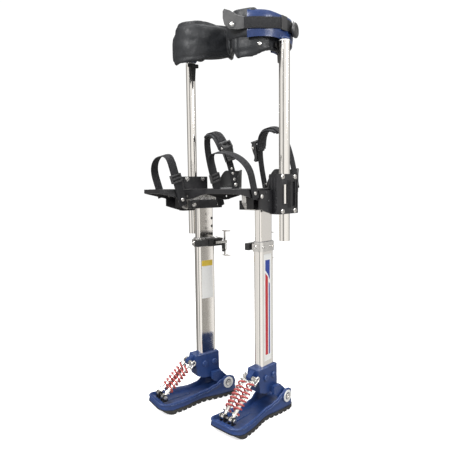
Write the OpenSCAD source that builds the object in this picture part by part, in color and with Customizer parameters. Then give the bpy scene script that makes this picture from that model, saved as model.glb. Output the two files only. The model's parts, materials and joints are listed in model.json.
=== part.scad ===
// Pair of adjustable drywall stilts. Each stilt is drawn in its own frame: x points outward from the
// wearer's centre line, y points to the heel, z points up, and the pole stands on the z axis.

/* [Pair] */
// Distance from the pair's centre to each pole, across the wearer
pair_half = 102; // [102:1:140]
// How far each pole stands off the pair's centre, along the walking direction
pair_lead = 31; // [0:1:40]
// Outward turn of each toe, in degrees
toe_out = 6.5; // [0:0.5:8]
// Shift along y that centres the pair's box on the origin
origin_shift = 28.8; // [0:0.1:40]

/* [Foot] */
// Half width of the sole at the toe
toe_half = 53; // [50:1:56]
// Half width of the sole at the heel
heel_half = 47; // [46:1:50]
// Distance of the toe edge in front of the pole
toe_reach = 190; // [186:1:200]
// Distance of the heel edge behind the pole
heel_reach = 98; // [96:1:104]
// Thickness of the rubber tread
tread_h = 13; // [12:1:15]

/* [Height] */
// Height of the platform's top above the floor
platform_z = 679; // [675:1:720]
// Height of the leg tube's top
leg_top_z = 1076; // [1060:1:1120]
// Height of the locking collar's centre
collar_z = 510; // [505:1:515]
// Distance between the locking holes of the sliding pole
hole_pitch = 25; // [20:1:30]

/* [Platform] */
// Half width of the boot platform at the toe
deck_half = 62; // [60:1:66]
// Distance of the platform's toe edge in front of the pole
deck_reach = 178; // [165:1:190]

/* [Leg tube and cuff] */
// Radius of the leg tube
leg_r = 15.25; // [14:0.25:15.25]
// Distance of the leg tube's axis outward of the pole
leg_x = 73; // [73:0.5:74]
// Outer half width of the padded cuff liner
pad_half = 71; // [68:0.5:71]
// Thickness of the padded cuff liner
pad_t = 14; // [12:1:16]

/* [Hidden] */
$fn = 64;
HULL_FN = 32;
EPS = 0.01;
RUN = 0.05;

SIDES = ["left", "right"];
PIECES = [
    "foot_casting", "tread", "toe_lugs", "heel_axle", "ankle_casting", "lower_pole",
    "guide_sleeve", "pole_collar", "latch_block", "shank_bolts", "latch_lever", "lock_pin",
    "spring_barrels", "spring_rods", "coil_springs", "upper_pole", "pole_saddle", "saddle_jaw",
    "foot_platform", "side_bracket", "bracket_bolts", "heel_cup", "toe_strap", "ankle_strap",
    "strap_buckles", "buckle_lever", "leg_tube", "cuff_band", "cuff_pad", "cuff_strap"
];

// Foot
waist_half = 44;
waist_y = -20;
rim_t = 7;
floor_t = 10;
heel_y = 54;
heel_z = 48;
boss_r = 20;
axle_r = 6;
ring_r = 18;
lug_count = 11;
lug_pitch = 19;
groove_w = 7;
groove_d = 4.5;
toe_bend_y = -150;
toe_slope = 0.27;

// Springs, from the toe pin to the eye on the ankle casting
spring_x = 15;
toe_pin_y = -162;
toe_pin_z = 46;
eye_y = -66;
eye_z = 130;
spring_len = norm([eye_y - toe_pin_y, eye_z - toe_pin_z]);
spring_tilt = atan2(eye_y - toe_pin_y, eye_z - toe_pin_z);
barrel_r = 6;
barrel_len = 74;
rod_r = 4;
rod_len = 88;
spring_eye_r = 8;
spring_pin_r = 3;
eye_slack = 2.5;
seat_r = 12;
seat_t = 2.5;
seat_low = 17;
seat_high = 14;
coil_r = 10.4;
wire_r = 2;
coil_turns = 7;
coil_steps = 14;
coil_sides = 6;

// Poles
outer_w = 30;
outer_d = 64;
outer_round = 10;
inner_w = 24;
inner_d = 58;
inner_round = 7;
pole_wall = 2;
pole_foot_z = 88;
outer_top_z = collar_z + 12;
inner_foot_z = 205;
casting_top_z = 150;
casting_half = 21;

// Collar and latch
collar_h = 28;
collar_t = 3;
pin_y = 22;
pin_r = 4;
pin_hole_r = pin_r + RUN;
holes_below = 10;
holes_above = 3;
lever_x = -30;
lever_y = 58.5;
lever_z = collar_z - 26;

// Platform
deck_t = 3;
grip_t = 0.6;
grip_half = 44;
flange_t = 3;
deck_waist = 56;
cup_y = 80;
cup_r = 56;
cup_t = 4;
saddle_low = platform_z - 61;
saddle_high = platform_z - deck_t;
saddle_half = 19;
saddle_front = -62;
nose_half = 8;
nose_front = -86;
jaw_out = 33;
bolt_r = 4;

// Side bracket
block_in = deck_waist + 0.2;
block_out = 90;
block_low = platform_z - 71;
block_high = platform_z + 39;
leg_y = 3;
clamp_y = [-30, 28];
jaw_bolt_y = [-54, 36];
shank_bolt_y = [-18, 18];
shank_bolt_z = 120;
arm_bolt_y = -92;
leg_low_z = platform_z - 148;

// Straps
strap_t = 2.4;
toe_strap_y = -117;
toe_strap_lean = 17;
toe_strap_half = 66;
toe_strap_leg = 44;
toe_rise = 74;
toe_skew = 30;
ankle_strap_y = 90;
ankle_strap_lean = 16;
ankle_strap_half = 59;
ankle_base_z = platform_z + 11;
ankle_leg = 14;
ankle_rise = 158;
buckle_turn = 150;
buckle_tilt = 10;

// Cuff
pad_x = -17;
pad_stretch = 26;
pad_low = leg_top_z - 46;
pad_high = leg_top_z + 80;
pad_slope = 8;
band_x = -16;
band_r = 86;
band_stretch = 18;
band_t = 3;
band_low = leg_top_z + 5;

// Places a piece drawn in the stilt's own frame on the left or the right of the pair
module placed(side) {
    sign = side == "left" ? 1 : -1;
    translate([sign * pair_half, sign * pair_lead + origin_shift, 0])
        mirror([sign > 0 ? 0 : 1, 0, 0])
            rotate([0, 0, toe_out])
                children();
}

// Round bar along x, from x = start
module bar_x(r, length, start) {
    translate([start, 0, 0])
        rotate([0, 90, 0])
            cylinder(r = r, h = length);
}

// Side view outline (y, z) drawn as a plate across x from x1 to x2
module side_plate(x1, x2) {
    translate([x1, 0, 0])
        rotate([90, 0, 90])
            linear_extrude(height = x2 - x1)
                children();
}

module rounded_rect(w, d, r) {
    square([w - 2 * r, d], center = true);
    square([w, d - 2 * r], center = true);
    for (x = [-1, 1])
        for (y = [-1, 1])
            translate([x * (w / 2 - r), y * (d / 2 - r)])
                circle(r = r);
}

module pole_tube(w, d, r, wall, h) {
    linear_extrude(height = h)
        difference() {
            rounded_rect(w, d, r);
            rounded_rect(w - 2 * wall, d - 2 * wall, r - wall);
        }
}

// Plan outline of the sole, drawn smaller by inset
module sole_outline(inset) {
    toe_r = 24;
    waist_r = 20;
    heel_r = 32;
    hull() {
        for (x = [-1, 1]) {
            translate([x * (toe_half - toe_r), toe_r - toe_reach])
                circle(r = toe_r - inset, $fn = HULL_FN);
            translate([x * (waist_half - waist_r), waist_y])
                circle(r = waist_r - inset, $fn = HULL_FN);
        }
    }
    hull() {
        for (x = [-1, 1]) {
            translate([x * (waist_half - waist_r), waist_y])
                circle(r = waist_r - inset, $fn = HULL_FN);
            translate([x * (heel_half - heel_r), heel_reach - heel_r])
                circle(r = heel_r - inset, $fn = HULL_FN);
        }
    }
}

// How far the turned-up toe has risen at y
function toe_lift(y) = (toe_bend_y - y) * toe_slope;

// Side view of the sole casting: toe turned up, rim rising to the heel pivot
module rim_profile() {
    polygon([
        [heel_reach + 1, tread_h],
        [heel_reach + 1, 26],
        [heel_y + 34, 50],
        [heel_y + 22, 64],
        [heel_y + 8, 70],
        [heel_y - 10, 70],
        [30, 62],
        [6, 48],
        [-20, 39],
        [-60, 35],
        [-110, 36],
        [-toe_reach - 1, 40],
        [-toe_reach - 1, tread_h + toe_lift(-toe_reach - 1)],
        [toe_bend_y, tread_h]
    ]);
}

module floor_profile() {
    polygon([
        [heel_reach + 1, tread_h],
        [heel_reach + 1, tread_h + floor_t],
        [-140, tread_h + floor_t],
        [toe_bend_y, tread_h + floor_t + 6],
        [-toe_reach - 1, tread_h + floor_t + 12],
        [-toe_reach - 1, tread_h + toe_lift(-toe_reach - 1)],
        [toe_bend_y, tread_h]
    ]);
}

module foot_casting() {
    color("royalblue")
        difference() {
            union() {
                intersection() {
                    linear_extrude(height = 80)
                        difference() {
                            sole_outline(0);
                            sole_outline(rim_t);
                        }
                    side_plate(-60, 60)
                        rim_profile();
                }
                intersection() {
                    linear_extrude(height = 80)
                        sole_outline(1);
                    side_plate(-60, 60)
                        floor_profile();
                }
                for (x = [-heel_half, heel_half - 9])
                    translate([0, heel_y, heel_z])
                        bar_x(boss_r, 9, x);
            }
            translate([0, heel_y, heel_z])
                bar_x(axle_r + RUN, 120, -60);
        }
}

module tread() {
    color("dimgray")
        difference() {
            intersection() {
                linear_extrude(height = 30)
                    sole_outline(-1);
                side_plate(-60, 60)
                    polygon([
                        [heel_reach + 2, tread_h],
                        [toe_bend_y, tread_h],
                        [-toe_reach - 2, tread_h + toe_lift(-toe_reach - 2)],
                        [-toe_reach + 4, 14],
                        [-toe_reach + 16, 9],
                        [-146, 0],
                        [heel_reach - 12, 0],
                        [heel_reach + 2, 8]
                    ]);
            }
            for (i = [0:lug_count - 1])
                translate([-60, -138 + i * lug_pitch, -1])
                    cube([120, groove_w, groove_d + 1]);
        }
}

// Black clevis lugs and the pins that hold the lower ends of both springs
module toe_lugs() {
    ear_t = 4;
    gap = 9.6;
    deck_z = tread_h + floor_t + 9.4;
    color("black")
        for (x = [-spring_x, spring_x])
            for (s = [-1, 1])
                translate([x + s * (gap + ear_t) / 2, toe_pin_y, 0])
                    difference() {
                        side_plate(-ear_t / 2, ear_t / 2)
                            union() {
                                translate([-8, deck_z])
                                    square([16, toe_pin_z - deck_z]);
                                translate([0, toe_pin_z])
                                    circle(r = 8);
                            }
                        translate([0, 0, toe_pin_z])
                            bar_x(spring_pin_r + RUN, 10, -5);
                    }
    color("silver")
        translate([0, toe_pin_y, toe_pin_z]) {
            bar_x(spring_pin_r, 56, -28);
            bar_x(6, 4, 24.2);
            bar_x(6, 4, -28.2);
        }
}

// Axle with its end bolts, and the white wear rings around them
module heel_axle() {
    color("black")
        translate([0, heel_y, heel_z]) {
            bar_x(axle_r, 2 * heel_half + 4, -heel_half - 2);
            bar_x(9, 3, heel_half + 0.1);
            bar_x(9, 3, -heel_half - 3.1);
        }
    color("white")
        for (x = [-heel_half - 2.6, heel_half + 0.1])
            translate([0, heel_y, heel_z])
                difference() {
                    bar_x(ring_r, 2.5, x);
                    bar_x(11, 6, x - 1);
                }
}

module ankle_profile() {
    polygon([
        [-50, casting_top_z],
        [-53, 134],
        [-44, 82],
        [-20, 72],
        [14, 70],
        [37, 84],
        [36, casting_top_z]
    ]);
}

module nose_profile() {
    polygon([
        [-48, 148],
        [-60, 144],
        [eye_y - 8, eye_z + 4],
        [eye_y - 7, eye_z - 6],
        [-48, 104]
    ]);
}

module yoke_profile() {
    hull() {
        translate([heel_y, heel_z])
            circle(r = 16, $fn = HULL_FN);
        translate([2, 66])
            square([30, 24]);
    }
}

module ankle_casting() {
    yoke_out = heel_half - 10;
    yoke_in = yoke_out - 10;
    color("royalblue")
        difference() {
            union() {
                side_plate(-casting_half, casting_half)
                    ankle_profile();
                side_plate(-8, 8)
                    nose_profile();
                side_plate(-yoke_out, yoke_out)
                    translate([4, 70])
                        square([26, 18]);
                for (x = [-yoke_out, yoke_in])
                    side_plate(x, x + 10)
                        yoke_profile();
            }
            translate([0, 0, pole_foot_z])
                linear_extrude(height = 100)
                    rounded_rect(outer_w + 0.2, outer_d + 0.2, outer_round);
            translate([0, heel_y, heel_z])
                bar_x(axle_r + RUN, 100, -50);
            translate([0, eye_y, eye_z])
                bar_x(spring_pin_r + RUN, 40, -20);
            for (y = shank_bolt_y)
                translate([0, y, shank_bolt_z])
                    bar_x(bolt_r + RUN, 60, -30);
        }
}

module lower_pole() {
    color("silver")
        difference() {
            translate([0, 0, pole_foot_z + 0.1])
                pole_tube(outer_w, outer_d, outer_round, pole_wall, outer_top_z - pole_foot_z);
            for (y = shank_bolt_y)
                translate([0, y, shank_bolt_z])
                    bar_x(bolt_r + RUN, 60, -30);
            translate([0, pin_y, collar_z])
                bar_x(pin_hole_r, 60, -30);
        }
}

// Plastic bush that the sliding pole runs in, with a lip on top of the outer pole
module guide_sleeve() {
    bore_w = inner_w + 0.16;
    bore_d = inner_d + 0.16;
    color("gray")
        difference() {
            union() {
                translate([0, 0, collar_z - 70])
                    linear_extrude(height = 84)
                        rounded_rect(outer_w - 4.1, outer_d - 4.1, outer_round - 2);
                translate([0, 0, outer_top_z + 0.2])
                    linear_extrude(height = 3)
                        rounded_rect(outer_w, outer_d, outer_round);
            }
            translate([0, 0, collar_z - 80])
                linear_extrude(height = 120)
                    rounded_rect(bore_w, bore_d, inner_round);
            translate([0, pin_y, collar_z])
                bar_x(pin_hole_r, 60, -30);
        }
}

module pole_collar() {
    color("gainsboro")
        difference() {
            translate([0, 0, collar_z - collar_h / 2])
                linear_extrude(height = collar_h)
                    difference() {
                        rounded_rect(outer_w + 2 * collar_t, outer_d + 2 * collar_t, outer_round + collar_t);
                        rounded_rect(outer_w + 0.1, outer_d + 0.1, outer_round);
                    }
            translate([0, pin_y, collar_z])
                bar_x(pin_hole_r, 60, -30);
        }
}

// Black housing on the collar's inner face: it guides the locking pin and carries the lever's pivot
module latch_block() {
    face = -outer_w / 2 - collar_t - 0.1;
    color("black")
        difference() {
            union() {
                translate([face - 15, -2, collar_z - 12])
                    cube([15, 52, 24]);
                translate([lever_x - 5, 50 - EPS, lever_z - 7])
                    cube([10, 6, 28]);
            }
            translate([0, pin_y, collar_z])
                bar_x(pin_hole_r, 40, -50);
            translate([face - 20, pin_y - 8, collar_z - 6])
                cube([10, 40, 12]);
            translate([lever_x, 40, lever_z])
                rotate([-90, 0, 0])
                    cylinder(r = 3 + RUN, h = 30);
        }
    color("silver")
        translate([lever_x, 50.5, lever_z])
            rotate([-90, 0, 0])
                cylinder(r = 3, h = 14);
}

module shank_bolts() {
    color("silver") {
        for (y = shank_bolt_y)
            translate([0, y, shank_bolt_z]) {
                bar_x(bolt_r, 2 * casting_half + 4, -casting_half - 2);
                bar_x(7, 4, casting_half + 0.1);
                bar_x(7, 4, -casting_half - 4.1);
            }
        translate([0, eye_y, eye_z]) {
            bar_x(spring_pin_r, 46, -23);
            bar_x(spring_pin_r + 2, 3, 21);
            bar_x(spring_pin_r + 2, 3, -24);
        }
    }
}

// Rocking lever with a thumb tab at each end
module latch_lever() {
    bar_w = 8;
    tab_w = 26;
    plate_t = 3;
    reach_up = 59;
    reach_down = 20;
    color("silver")
        translate([lever_x, lever_y - plate_t / 2, lever_z])
            difference() {
                union() {
                    translate([-bar_w / 2, 0, -reach_down])
                        cube([bar_w, plate_t, reach_up + reach_down]);
                    for (z = [-reach_down, reach_up])
                        translate([-tab_w / 2, 0, z - 1.5])
                            cube([tab_w, 16, 3]);
                    rotate([-90, 0, 0])
                        cylinder(r = 6.5, h = plate_t);
                }
                translate([0, -1, 0])
                    rotate([-90, 0, 0])
                        cylinder(r = 3 + RUN, h = plate_t + 2);
            }
}

// Locking pin with the pull plate that the lever moves
module lock_pin() {
    tip = -inner_w / 2 - 0.4;
    plate_x = -40;
    color("silver") {
        translate([0, pin_y, collar_z])
            bar_x(pin_r, tip - plate_x, plate_x);
        translate([plate_x - 3, pin_y - 5, collar_z - 4])
            cube([3 + EPS, lever_y - pin_y + 6, 8]);
        translate([plate_x - 1, lever_y - 1.5, collar_z])
            cube([lever_x - 4.3 - plate_x + 1, 3, 4]);
    }
}

// Draws a child whose z axis runs from the toe pin to the eye on the ankle casting
module along_springs() {
    for (x = [-spring_x, spring_x])
        translate([x, toe_pin_y, toe_pin_z])
            rotate([-spring_tilt, 0, 0])
                children();
}

module spring_barrels() {
    eye_w = 9;
    color("silver")
        along_springs()
            difference() {
                union() {
                    bar_x(spring_eye_r, eye_w, -eye_w / 2);
                    cylinder(r = eye_w / 2 - 0.2, h = 10);
                    translate([0, 0, 9.4])
                        cylinder(r = barrel_r, h = barrel_len - 9.4);
                    translate([0, 0, seat_low - seat_t])
                        cylinder(r = seat_r, h = seat_t);
                }
                bar_x(spring_pin_r + RUN, 20, -10);
                translate([0, 0, 11])
                    cylinder(r = rod_r + RUN, h = barrel_len);
            }
}

module spring_rods() {
    eye_w = 9;
    color("silver")
        along_springs()
            translate([0, 0, spring_len])
                difference() {
                    union() {
                        bar_x(spring_eye_r, eye_w, -eye_w / 2 + 0.8);
                        translate([0, 0, -rod_len])
                            cylinder(r = rod_r, h = rod_len);
                        translate([0, 0, -seat_high])
                            cylinder(r = seat_r, h = seat_t);
                    }
                    bar_x(spring_pin_r + eye_slack, 20, -10);
                }
}

module coil() {
    steps = coil_turns * coil_steps;
    base = seat_low + wire_r + 0.1;
    rise = spring_len - seat_high - wire_r - 0.1 - base;
    spots = [
        for (i = [0:steps])
            for (k = [0:coil_sides - 1])
                let (turn = 360 * i / coil_steps)
                let (around = 360 * k / coil_sides)
                let (reach = coil_r + wire_r * cos(around))
                [
                    reach * cos(turn),
                    reach * sin(turn),
                    base + rise * i / steps + wire_r * sin(around)
                ]
    ];
    walls = [
        for (i = [0:steps - 1])
            for (k = [0:coil_sides - 1])
                let (a = i * coil_sides + k)
                let (b = i * coil_sides + (k + 1) % coil_sides)
                [a, b, b + coil_sides, a + coil_sides]
    ];
    first_end = [for (k = [0:coil_sides - 1]) coil_sides - 1 - k];
    last_end = [for (k = [0:coil_sides - 1]) steps * coil_sides + k];
    polyhedron(points = spots, faces = concat(walls, [first_end, last_end]));
}

module coil_springs() {
    color("firebrick")
        along_springs()
            coil();
}

module upper_pole() {
    color("silver")
        difference() {
            translate([0, 0, inner_foot_z])
                pole_tube(inner_w, inner_d, inner_round, pole_wall, saddle_high - 4 - inner_foot_z);
            for (i = [-holes_below:holes_above])
                translate([0, pin_y, collar_z + i * hole_pitch])
                    bar_x(pin_r + 0.4, 20, -20);
            for (y = shank_bolt_y)
                translate([0, y, platform_z - 20])
                    bar_x(bolt_r + RUN, 60, -30);
        }
}

// Silver casting that joins the sliding pole to the platform
module pole_saddle() {
    color("silver")
        difference() {
            union() {
                side_plate(-saddle_half, saddle_half)
                    polygon([
                        [saddle_front, saddle_low],
                        [saddle_front, saddle_high - 0.1],
                        [46, saddle_high - 0.1],
                        [46, saddle_low]
                    ]);
                side_plate(-nose_half, nose_half)
                    polygon([
                        [saddle_front + 1, saddle_low],
                        [saddle_front - 10, saddle_low + 2],
                        [nose_front, saddle_low + 22],
                        [nose_front, saddle_high - 0.1],
                        [saddle_front + 1, saddle_high - 0.1]
                    ]);
            }
            translate([0, 0, saddle_low - 1])
                linear_extrude(height = saddle_high - saddle_low - 3)
                    rounded_rect(inner_w + 0.2, inner_d + 0.2, inner_round);
            for (y = [-55, -41, 38])
                translate([0, y, platform_z - 22])
                    bar_x(5, 60, -30);
            for (y = shank_bolt_y)
                translate([0, y, platform_z - 20])
                    bar_x(bolt_r + RUN, 60, -30);
            for (y = jaw_bolt_y)
                translate([0, y, platform_z - 48])
                    bar_x(bolt_r + RUN, 60, -30);
        }
}

// Black bars clamped to both sides of the saddle; the outer one also wraps the saddle's front corner
module saddle_jaw() {
    color("black")
        difference() {
            union() {
                translate([-jaw_out, -68, platform_z - 60])
                    cube([jaw_out - saddle_half - 0.2, 116, 26]);
                translate([0, 0, platform_z - 57])
                    linear_extrude(height = 30)
                        polygon([
                            [nose_half + 0.2, nose_front + 2],
                            [jaw_out, nose_front + 2],
                            [jaw_out, 44],
                            [saddle_half + 0.2, 44],
                            [saddle_half + 0.2, saddle_front - 0.2],
                            [nose_half + 0.2, saddle_front - 0.2]
                        ]);
            }
            for (y = jaw_bolt_y)
                translate([0, y, platform_z - 48])
                    bar_x(bolt_r + RUN, 120, -60);
        }
}

// Plan of the platform: wide at the toe, narrower beside the leg tube, round at the heel
module deck_outline(inset) {
    wide = deck_half - inset;
    slim = deck_waist - inset;
    polygon([
        [-wide + 8, inset - deck_reach],
        [wide - 8, inset - deck_reach],
        [wide, inset - deck_reach + 8],
        [wide, -72],
        [slim, -50],
        [slim, cup_y],
        [-slim, cup_y],
        [-slim, -50],
        [-wide, -72],
        [-wide, inset - deck_reach + 8]
    ]);
    translate([0, cup_y])
        circle(r = slim);
}

// Platform with a flange all round and a slightly raised grip area for the boot's sole
module foot_platform() {
    color("black")
        difference() {
            union() {
                intersection() {
                    translate([0, 0, platform_z - 60])
                        linear_extrude(height = 60 - grip_t)
                            deck_outline(0);
                    side_plate(-70, 70)
                        polygon([
                            [-deck_reach - 1, platform_z],
                            [-deck_reach - 1, platform_z - 12],
                            [-100, platform_z - 31],
                            [-84, platform_z - 30],
                            [-14, platform_z - 13],
                            [cup_y + cup_r + 1, platform_z - 13],
                            [cup_y + cup_r + 1, platform_z]
                        ]);
                }
                translate([-grip_half, 12 - deck_reach, platform_z - 1])
                    cube([2 * grip_half, deck_reach + 52, 1]);
            }
            translate([0, 0, platform_z - 61])
                linear_extrude(height = 61 - deck_t)
                    deck_outline(flange_t);
            for (x = [-1, 1])
                translate([x * deck_half, arm_bolt_y, platform_z - 21])
                    bar_x(3 + RUN, 20, -10);
        }
}

// Clamp around the leg tube: outer block with its arm, and the inner plate above the deck
module side_bracket() {
    arm_out = deck_half + 6;
    color("black") {
        difference() {
            union() {
                translate([0, 0, block_low])
                    linear_extrude(height = block_high - block_low)
                        polygon([
                            [block_in, -42],
                            [82, -44],
                            [block_out, -38],
                            [block_out, 45],
                            [86, 50],
                            [block_in, 50]
                        ]);
                side_plate(deck_half + 0.2, arm_out)
                    polygon([
                        [-38, platform_z - 5],
                        [-103, platform_z - 5],
                        [-99, platform_z - 22],
                        [-99, platform_z - 54],
                        [-78, platform_z - 61],
                        [-54, platform_z - 68],
                        [-38, platform_z - 70]
                    ]);
            }
            translate([leg_x, leg_y, block_low - 1])
                cylinder(r = leg_r + RUN, h = 200);
            translate([leg_x, -27, platform_z - 45])
                cube([60, 21, 57]);
            translate([block_out - 3, 12, platform_z - 50])
                cube([10, 16, 68]);
            for (y = clamp_y)
                for (z = [block_low + 8, block_high - 8])
                    translate([leg_x, y, z])
                        bar_x(bolt_r + RUN, 60, -30);
            translate([deck_half, arm_bolt_y, platform_z - 21])
                bar_x(3 + RUN, 20, -10);
        }
        difference() {
            side_plate(block_in - 5.2, block_in - 0.2)
                polygon([
                    [-38, block_high],
                    [34, block_high],
                    [42, platform_z + 0.2],
                    [-45, platform_z + 0.2]
                ]);
            for (y = clamp_y)
                translate([leg_x, y, block_high - 8])
                    bar_x(bolt_r + RUN, 60, -30);
        }
    }
}

module bracket_bolts() {
    head_r = 6.5;
    color("silver") {
        for (y = clamp_y)
            for (z = [block_low + 8, block_high - 8]) {
                start = z > platform_z ? block_in - 8 : block_in + 1;
                translate([0, y, z]) {
                    bar_x(bolt_r, block_out - start + 1, start);
                    bar_x(head_r, 4, block_out + 0.1);
                }
            }
        for (y = clamp_y)
            translate([0, y, block_high - 8])
                bar_x(head_r, 3, block_in - 8.4);
        for (y = jaw_bolt_y)
            translate([0, y, platform_z - 48]) {
                bar_x(bolt_r, 2 * jaw_out + 4, -jaw_out - 2);
                bar_x(head_r, 4, -jaw_out - 4.1);
                bar_x(head_r, 4, jaw_out + 0.1);
            }
        for (y = shank_bolt_y)
            translate([0, y, platform_z - 20]) {
                bar_x(bolt_r, 42, -21);
                bar_x(head_r, 3, 19.1);
                bar_x(head_r, 3, -22.1);
            }
        translate([0, arm_bolt_y, platform_z - 21]) {
            bar_x(3, 13, deck_half - 5);
            bar_x(6, 3, deck_half + 6.1);
            bar_x(5, 2, deck_half - 5.2);
        }
    }
}

module heel_cup() {
    color("black")
        difference() {
            translate([0, cup_y, platform_z + 0.2])
                cylinder(r = cup_r, h = 56);
            translate([0, cup_y, platform_z - 1])
                cylinder(r = cup_r - cup_t, h = 70);
            translate([-70, cup_y - 100, platform_z - 1])
                cube([140, 92, 70]);
            translate([-70, cup_y - 30, platform_z + 28])
                rotate([32, 0, 0])
                    cube([140, 60, 60]);
            translate([0, ankle_strap_y - 8, ankle_base_z])
                bar_x(bolt_r + RUN, 140, -70);
        }
}

// Webbing arch in the x-z plane, drawn between two angles and two offsets from its centre line
module strap_arch(half, leg, rise, skew, from, to, near, far, width) {
    steps = 28;
    step_angles = [for (i = [0:steps]) from + (to - from) * i / steps];
    outer = [for (a = step_angles) arch_point(half + far, leg, rise + far, skew, a)];
    inner = [for (i = [steps:-1:0]) arch_point(half + near, leg, rise + near, skew, step_angles[i])];
    rotate([90, 0, 0])
        linear_extrude(height = width, center = true)
            polygon(concat(outer, inner));
}

// Point of an arch at angle a from its outer leg; skew moves the crown toward the inner leg
function arch_point(half, leg, rise, skew, a) =
    [
        half * pow(abs(cos(a)), 0.75) * sign(cos(a)) - skew * pow(sin(a), 2),
        leg + rise * pow(abs(sin(a)), 0.8)
    ];

// Draws a child in the toe strap's plane, which leans toward the toe
module in_toe_strap() {
    translate([0, toe_strap_y, platform_z - 15])
        rotate([toe_strap_lean, 0, 0])
            children();
}

module in_ankle_strap() {
    translate([0, ankle_strap_y - 8, ankle_base_z])
        rotate([ankle_strap_lean, 0, 0])
            children();
}

// Draws a child on the outer face of the ankle strap's inner leg, x pointing into the strap
module at_buckle() {
    spot = arch_point(ankle_strap_half, ankle_leg, ankle_rise, 0, buckle_turn);
    in_ankle_strap()
        translate([spot[0], 0, spot[1]])
            rotate([0, buckle_tilt, 0])
                children();
}

module toe_strap() {
    color("black")
        in_toe_strap() {
            strap_arch(
                toe_strap_half, toe_strap_leg, toe_rise, toe_skew,
                0, 180, -strap_t / 2, strap_t / 2, 25
            );
            for (x = [-1, 1])
                translate([x * toe_strap_half - strap_t / 2, -12.5, x > 0 ? -12 : -34])
                    cube([strap_t, 25, toe_strap_leg + (x > 0 ? 12.2 : 34.2)]);
        }
}

module ankle_strap() {
    color("black")
        in_ankle_strap() {
            strap_arch(ankle_strap_half, ankle_leg, ankle_rise, 0, 0, 180, -1.5, 1.5, 24);
            strap_arch(ankle_strap_half, ankle_leg, ankle_rise, 0, 62, 150, -9, -1.8, 42);
            for (x = [-1, 1])
                difference() {
                    translate([x * ankle_strap_half - 1.5, -12, -14])
                        cube([3, 24, 28.2]);
                    bar_x(bolt_r + RUN, 140, -70);
                }
        }
}

// Slide buckle of the toe strap, ratchet body of the ankle strap, and the straps' rivets
module strap_buckles() {
    frame_w = 34;
    color("black")
        in_toe_strap()
            translate([-toe_strap_half, 0, 48])
                difference() {
                    cube([9, frame_w, 24], center = true);
                    cube([strap_t + 0.6, 26, 30], center = true);
                }
    color("dimgray")
        at_buckle() {
            translate([-5.4, -17, -30])
                cube([3, 34, 62]);
            for (y = [-17, 14])
                translate([-17, y, -4])
                    difference() {
                        cube([12.2, 3, 24]);
                        translate([5, 5, 17])
                            rotate([90, 0, 0])
                                cylinder(r = 2.5 + RUN, h = 10);
                    }
        }
    color("silver") {
        in_ankle_strap()
            for (x = [-1, 1])
                translate([x * (ankle_strap_half - 1), 0, 0]) {
                    bar_x(bolt_r, 12, -6);
                    bar_x(6, 2, x > 0 ? 2.8 : -4.8);
                }
        in_toe_strap()
            translate([toe_strap_half, 0, 3])
                bar_x(5, 2, strap_t / 2 + 0.1);
        in_toe_strap()
            translate([-toe_strap_half, 0, -26])
                bar_x(5, 2, -strap_t / 2 - 2.1);
    }
}

// Ratchet lever of the ankle strap, closed against its body
module buckle_lever() {
    color("black")
        at_buckle() {
            translate([-14, -13.6, -28])
                cube([5, 27.2, 42]);
            translate([-12, 13.6, 13])
                rotate([90, 0, 0])
                    cylinder(r = 4, h = 27.2);
            translate([-12, 17, 13])
                rotate([90, 0, 0])
                    cylinder(r = 2.5, h = 34);
        }
}

// Leg tube with the plastic cap that carries the cuff's pivot, and the tongue under it
module leg_tube() {
    color("silver")
        translate([leg_x, leg_y, leg_low_z])
            difference() {
                cylinder(r = leg_r, h = leg_top_z - leg_low_z);
                translate([0, 0, -1])
                    cylinder(r = leg_r - 2, h = leg_top_z);
            }
    color("white")
        translate([leg_x, leg_y, leg_top_z - 20]) {
            cylinder(r = leg_r - 2.1, h = 20);
            translate([0, 0, 20.1])
                cylinder(r = leg_r, h = 3);
            translate([0, 0, 18])
                cylinder(r = 4, h = 12.4);
        }
    color("black")
        translate([leg_x - leg_r - 3.2, leg_y, 0])
            side_plate(0, 3)
                polygon([
                    [-19, leg_top_z - 1],
                    [19, leg_top_z - 1],
                    [19, leg_top_z - 12],
                    [9, leg_top_z - 14],
                    [6, leg_top_z - 54],
                    [-6, leg_top_z - 54],
                    [-9, leg_top_z - 14],
                    [-19, leg_top_z - 12]
                ]);
}

// Ring in plan with its two halves moved apart along y; the children are cut away from it
module cuff_ring(r_in, r_out, stretch, h) {
    linear_extrude(height = h)
        difference() {
            long_round(r_out, stretch);
            long_round(r_in, stretch);
            children();
        }
}

module long_round(r, stretch) {
    square([2 * r, 2 * stretch], center = true);
    for (y = [-stretch, stretch])
        translate([0, y])
            circle(r = r);
}

// Curved shell of the cuff, open toward the other leg, and the plate that turns on the leg tube's cap
module cuff_band() {
    color("royalblue")
        difference() {
            union() {
                translate([band_x, 0, band_low + 3])
                    cuff_ring(band_r - band_t, band_r, band_stretch, 70)
                        translate([-32 - 100, -150])
                            square([100, 300]);
                translate([leg_x - 10, leg_y - 14, band_low])
                    cube([14, 28, 4]);
                translate([leg_x, leg_y, band_low])
                    cylinder(r = 14, h = 4);
            }
            translate([leg_x, leg_y, band_low - 1])
                cylinder(r = 4 + RUN, h = 10);
        }
}

// Padded liner, open for a short gap at the front, its lower edge rising toward the back
module cuff_pad() {
    color("black")
        difference() {
            translate([pad_x, 0, pad_low])
                cuff_ring(pad_half - pad_t, pad_half, pad_stretch, pad_high - pad_low)
                    translate([-20, -150])
                        square([24, 100]);
            translate([pad_x, -pad_half - pad_stretch, pad_low])
                rotate([pad_slope, 0, 0])
                    translate([-100, -50, -80])
                        cube([200, 300, 80]);
            translate([pad_x + pad_half - 5, leg_y - 32, pad_low - 1])
                cube([10, 64, leg_top_z + 5 - pad_low]);
        }
}

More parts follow.
